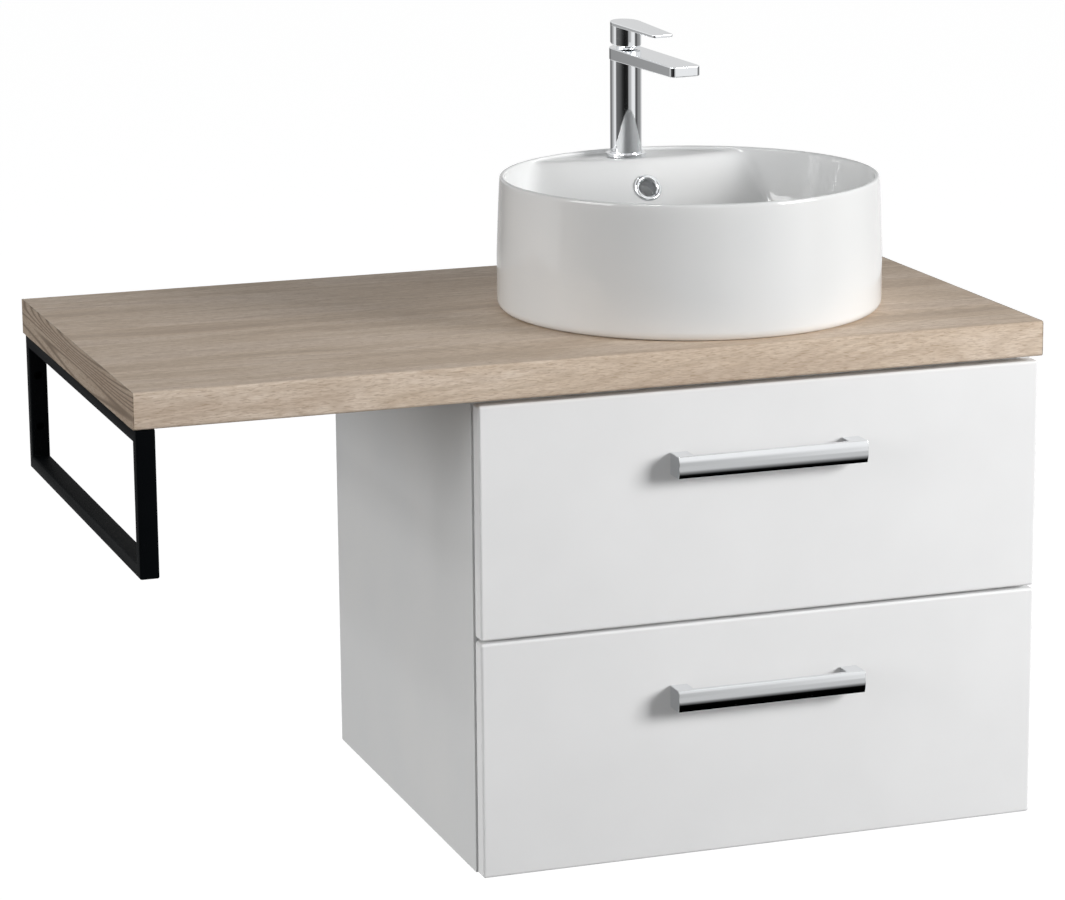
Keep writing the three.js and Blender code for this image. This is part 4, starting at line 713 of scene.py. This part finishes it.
rounds = [i * 2 * math.pi / steps for i in range(steps)]
grid = np.array([inside_line((a + math.pi) % (2 * math.pi) - math.pi, count) for a in rounds])
ends = grid[:, [0, -1]].copy()
# Two passes around and four along soften the line where the deck meets the wall.
for _ in range(2):
    grid = (np.roll(grid, 1, 0) + 2 * grid + np.roll(grid, -1, 0)) / 4
for _ in range(4):
    grid[:, 1:-1] = (grid[:, :-2] + 2 * grid[:, 1:-1] + grid[:, 2:]) / 4
grid[:, [0, -1]] = ends
finder = KDTree(len(profile))
for i, (r, z) in enumerate(profile):
    finder.insert((r, z, 0), i)
finder.balance()
for v in bm.verts:
    radius = math.hypot(v.co.x, v.co.y) / mm
    index = finder.find((radius, v.co.z / mm, 0))[1]
    if index < count:
        around = math.atan2(v.co.x, v.co.y) % (2 * math.pi)
        r, z = grid[round(around / (2 * math.pi) * steps) % steps, index]
        v.co = Vector((math.sin(around) * r * mm, math.cos(around) * r * mm, z * mm))
bmesh.ops.translate(bm, vec=(0, basin_y, base), verts=bm.verts)

lean = math.atan(deck_slope)
overflow_up, deck_front = 103.5, 137
overflow = Vector((0, basin_y + (deck_front - (deck_top - overflow_up) * deck_slope) * mm,
                   base + overflow_up * mm))
outward = Vector((0, -math.cos(lean), math.sin(lean)))
overflow_radius, tap_hole_radius = 11.8 * mm, 17.5 * mm
passage = rod(overflow_radius, overflow - outward * 34 * mm, overflow + outward * 12 * mm, segments=72)
tap_hole = rod(tap_hole_radius, (tap.x, tap.y, base + 110 * mm), (tap.x, tap.y, base + 150 * mm),
               segments=72)
keep("basin_china", rest_of(bm, passage, tap_hole), glaze, "vanity", "basin", slot="glaze", crease=40)


# ------------------------------------------------------------------ overflow ring
# A pressed brass ring in polished chrome, pushed into the overflow until its rounded lip rests on the glaze.
def spun(outline, place=Matrix(), steps=96, fillet=0.0):
    """A turned piece about +Z, from points of radius and height in millimetres, moved to its place."""
    bm = bmesh.new()
    closed = outline[0][0] > 0
    verts = [bm.verts.new((r * mm, 0, z * mm)) for r, z in outline]
    links = len(verts) if closed else len(verts) - 1
    edges = [bm.edges.new((verts[i], verts[(i + 1) % len(verts)])) for i in range(links)]
    if fillet:
        inner = verts if closed else verts[1:-1]
        bmesh.ops.bevel(bm, geom=inner, offset=fillet * mm, segments=4, profile=0.5, affect="VERTICES",
                        material=-1)
    bmesh.ops.spin(bm, geom=bm.verts[:] + bm.edges[:], cent=(0, 0, 0), axis=(0, 0, 1), dvec=(0, 0, 0),
                   angle=2 * math.pi, steps=steps, use_merge=True, use_duplicate=False)
    bmesh.ops.remove_doubles(bm, verts=bm.verts, dist=1e-6)
    bmesh.ops.transform(bm, matrix=place, verts=bm.verts)
    return bm


chrome = polished("polished_chrome_plate", "#e8eaec", 0.05)
facing = Matrix.Translation(overflow) @ outward.to_track_quat("Z", "Y").to_matrix().to_4x4()
ring_line = [(9.5, -14), (11.5, -14), (11.5, 0.6), (15, 0.6), (15, 1.2), (13.6, 2.7), (11.4, 2.7), (9.5, 1.2)]
keep("overflow_collar", spun(ring_line, facing, fillet=0.5), chrome, "vanity", "overflow_ring",
     slot="chrome_trim")


# ------------------------------------------------------------------ tap
# A cast and machined brass mixer in polished chrome: a round column, a flat spout with softened edges
# and a thin paddle lever on a turned hub. It stands on a stepped base ring.
tap_turn = 9
deck = Matrix.Translation((tap.x, tap.y, base + deck_top * mm)) @ Matrix.Rotation(math.radians(tap_turn), 4,
                                                                                  "Z")
column = spun([(0, 0.3), (16.8, 0.3), (16.8, 115), (0, 115)], deck, fillet=0.4)
weigh(keep("tap_column", column, chrome, "vanity", "tap_body", slot="tap_chrome"))
foot_ring = spun([(17.1, 0.3), (21.3, 0.3), (21.3, 4.5), (17.1, 4.5)], deck, fillet=0.7)
weigh(keep("tap_foot_ring", foot_ring, chrome, "vanity", "tap_base_ring", slot="tap_chrome"))


def arm(back, tip, reach, corner, top, under, edge):
    """A flat arm about +Z that points forward: a round back, straight sides and a tip with rounded corners.
    top and under give the heights of its faces at a distance in front of the axis."""
    bm = bmesh.new()
    bmesh.ops.create_cube(bm, size=1)
    bmesh.ops.scale(bm, vec=(2 * back, reach + back, 1), verts=bm.verts)
    bmesh.ops.translate(bm, vec=(0, (back - reach) / 2, 0), verts=bm.verts)
    for rear, radius, segments in ((True, back * 0.999, 24), (False, corner, 8)):
        upright = [e for e in bm.edges if abs(e.verts[0].co.z - e.verts[1].co.z) > 0.5
                   and (e.verts[0].co.y > 0) == rear and abs(e.verts[0].co.x) > back * 0.9]
        bmesh.ops.bevel(bm, geom=upright, offset=radius, segments=segments, profile=0.5, affect="EDGES",
                        material=-1)
    for v in bm.verts:
        if v.co.y < 0:
            v.co.x *= 1 - (1 - tip / back) * min(1, -v.co.y / reach)
        v.co.z = top(v.co.y) if v.co.z > 0 else under(v.co.y)
    outline = [e for e in bm.edges if len(e.link_faces) == 2 and e.calc_face_angle() > 1.1
               and abs(e.verts[0].co.z - e.verts[1].co.z) < abs(e.calc_length()) * 0.5]
    bmesh.ops.bevel(bm, geom=outline, offset=edge, segments=4, profile=0.5, affect="EDGES", material=-1)
    bmesh.ops.scale(bm, vec=(mm, mm, mm), verts=bm.verts)
    return bm


# The spout falls a little towards its tip, and is 13 mm deep at the column and 2.4 mm less at the tip.
spout_top, spout_width, spout_reach, spout_fall, spout_depth = 116.2, 17.6, 127, 0.054, 13
spout = arm(spout_width, spout_width, spout_reach, corner=5, top=lambda y: spout_top + y * spout_fall,
            under=lambda y: spout_top + y * spout_fall - spout_depth + 2.4 * min(1, max(0, -y) / spout_reach),
            edge=1.0)
bmesh.ops.transform(spout, matrix=deck, verts=spout.verts)
weigh(keep("tap_spout", spout, chrome, "vanity", "tap_body", slot="tap_chrome"))

low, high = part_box("aerator")
middle = Matrix.Translation(((low.x + high.x) / 2, (low.y + high.y) / 2, low.z))
aerator_line = [(7.5, 0.0), (10.2, 0.0), (10.4, 0.6), (10.4, 6.5), (7.5, 6.5)]
keep("aerator_collar", spun(aerator_line, middle), chrome, "vanity", "aerator", slot="tap_chrome")
spray, tree = new_material("pale_grey_spray_insert")
place = add_node(tree, "ShaderNodeTexCoord").outputs["Object"]
# The insert is a solid disc. Its holes are drawn as dark spots about 1.1 mm apart, which are painted shade on
# the pale grey plastic.
painted_hole_shade = add_node(tree, "ShaderNodeTexVoronoi", {"Vector": place, "Scale": 1 / (1.1 * mm)})
tone = add_node(tree, "ShaderNodeValToRGB", {"Fac": painted_hole_shade.outputs["Distance"]},
                stops=[(0.25, "#2a2b2c"), (0.45, "#b9bbbc")])
surface(tree, Base_Color=tone.outputs["Color"], Roughness=0.5)
insert_line = [(0, 1.0), (7.6, 1.0), (7.6, 5.0), (0, 5.0)]
keep("aerator_insert", spun(insert_line, middle, steps=48), spray, "vanity", "aerator", slot="white_plastic")


# ------------------------------------------------------------------ lever
# The lever turns and tips on a ball-shaped cover over the cartridge. Its hub is turned, its paddle is
# thin, and both are one polished casting.
pivot_z = spout_top + 11.5
pivot = deck @ Matrix.Translation((0, 0, pivot_z * mm))
# The hub's foot is cut at a slant that clears the spout when the lever tips back.
hub_line = [(0, 12.6), (16.5, 12.6), (16.5, -6.6), (15.9, -7.95), (13.1, -7.95), (13.1, 0), (12.3, 4.5),
            (9, 9.5), (0, 9.5)]
hub = spun(hub_line, fillet=0.3)
foot_line, foot_slant = -5 * mm, 0.179
for v in hub.verts:
    if v.co.z < foot_line:
        v.co.z += foot_slant * v.co.y
bmesh.ops.transform(hub, matrix=pivot, verts=hub.verts)
weigh(keep("lever_hub", hub, chrome, "lever_arm", "lever", slot="tap_chrome"))
# The paddle falls towards its tip, and thins from 4 mm to 3 mm.
paddle_top, paddle_reach, paddle_fall, paddle_depth = 15.7, 80, 0.075, 4
paddle = arm(16.6, 12, paddle_reach, corner=4, top=lambda y: paddle_top + y * paddle_fall,
             under=lambda y: paddle_top + y * paddle_fall - paddle_depth + min(1, max(0, -y) / paddle_reach),
             edge=0.7)
bmesh.ops.transform(paddle, matrix=pivot, verts=paddle.verts)
weigh(keep("lever_paddle", paddle, chrome, "lever_arm", "lever", slot="tap_chrome"))
coat(chrome, "cartridge_dome_nut")

brass, tree = new_material("plain_turned_brass")
place = add_node(tree, "ShaderNodeTexCoord").outputs["Object"]
dull = add_node(tree, "ShaderNodeTexNoise", {"Vector": place, "Scale": 1 / (3 * mm), "Detail": 3.0})
tone = add_node(tree, "ShaderNodeValToRGB", {"Fac": dull.outputs["Fac"]},
                stops=[(0.3, "#b4914f"), (0.7, "#c9a867")])
surface(tree, Base_Color=tone.outputs["Color"], Metallic=1.0, Roughness=0.35)
coat(brass, "stem_carrier", "lever_stem", "tap_stud_nut")

plastic, tree = new_material("white_moulded_acetal")
place = add_node(tree, "ShaderNodeTexCoord").outputs["Object"]
spark = add_node(tree, "ShaderNodeTexNoise", {"Vector": place, "Scale": 1 / (0.8 * mm), "Detail": 1.0})
tone = add_node(tree, "ShaderNodeValToRGB", {"Fac": spark.outputs["Fac"]},
                stops=[(0.3, "#e4e4e1"), (0.7, "#ececea")])
surface(tree, Base_Color=tone.outputs["Color"], Roughness=0.4)
coat(plastic, "cartridge", "waste_nut")


# ------------------------------------------------------------------ waste and trap
# Chromed brass tube and castings: a pop-up plug in the bowl, and a bottle trap that hangs under the
# worktop and drains to the wall. A rubber seal closes the waste under the worktop.
rubber, tree = new_material("black_moulded_rubber")
place = add_node(tree, "ShaderNodeTexCoord").outputs["Object"]
bloom = add_node(tree, "ShaderNodeTexNoise", {"Vector": place, "Scale": 1 / (5 * mm), "Detail": 3.0})
tone = add_node(tree, "ShaderNodeValToRGB", {"Fac": bloom.outputs["Fac"]},
                stops=[(0.3, "#191919"), (0.7, "#232323")])
surface(tree, Base_Color=tone.outputs["Color"], Roughness=0.75)
coat(rubber, "waste_seal")
coat(chrome, "waste_body")
# The trap's pieces are turned about the basin's axis, with their heights over the part's origin, or about
# the drain that runs back to the wall, with their distances behind the basin's axis.
drain_z, drain_bore = -75 * mm, 16.3
upright = Matrix.Translation((0, basin_y, 0))
drain = Matrix.Translation((0, basin_y, drain_z)) @ Matrix.Rotation(-math.pi / 2, 4, "X")
for name, node, place, fillet, outline in (
    ("trap_coupling", "trap_coupling_nut", upright, 0.8,
     [(16.3, 3.7), (26, 3.7), (26, 23.7), (19.8, 23.7), (19.8, 7.7), (16.3, 7.7)]),
    ("trap_dip_tube", "trap_inlet_tube", upright, 0.3,
     [(14.2, -96), (16, -96), (16, 8), (19.5, 8), (19.5, 10), (14.2, 10)]),
    ("trap_cap", "trap_cap_nut", upright, 0.8,
     [(31.3, -50), (35, -50), (35, -32.7), (32, -29.7), (16.3, -29.7), (16.3, -33.7), (31.3, -33.7)]),
    ("trap_socket", "trap_bottle", drain, 0.6,
     [(drain_bore, 20), (21, 20), (21, 52), (drain_bore, 52)]),
    ("trap_drain_pipe", "trap_outlet_pipe", drain, 0.3,
     [(14.2, 38), (16, 38), (16, 286.2), (14.2, 286.2)]),
    ("trap_rosette", "wall_rosette", drain, 0.5,
     [(16.3, 277.2), (21, 277.2), (25, 279.4), (28.2, 282.2), (30, 285.2), (30, 286.2), (27, 286.2),
      (16.3, 280.2)]),
):
    keep(name, spun(outline, place, fillet=fillet), chrome, "vanity", node, slot="chrome_trim")
bottle_line = [(0, -140), (19, -140), (27, -136), (31, -126), (31, -34), (28, -34), (28, -126), (19, -137),
               (0, -137)]
outlet = rod(drain_bore * mm, (0, basin_y, drain_z), (0, basin_y + 60 * mm, drain_z))
bottle = rest_of(spun(bottle_line, upright, fillet=1.2), outlet)
keep("trap_bottle_shell", bottle, chrome, "vanity", "trap_bottle", slot="chrome_trim")

plug_line = [(0, -32), (4.5, -32), (4.5, 14), (14.5, 16), (14.5, 26.3), (30, 26.3), (31, 28.1), (29.5, 29.9),
             (18, 30.8), (0, 30.8)]
plug = spun(plug_line, Matrix.Translation((0, basin_y, base)), fillet=0.4)
keep("waste_plug_cap", plug, chrome, "plug", "waste_plug", slot="chrome_trim")
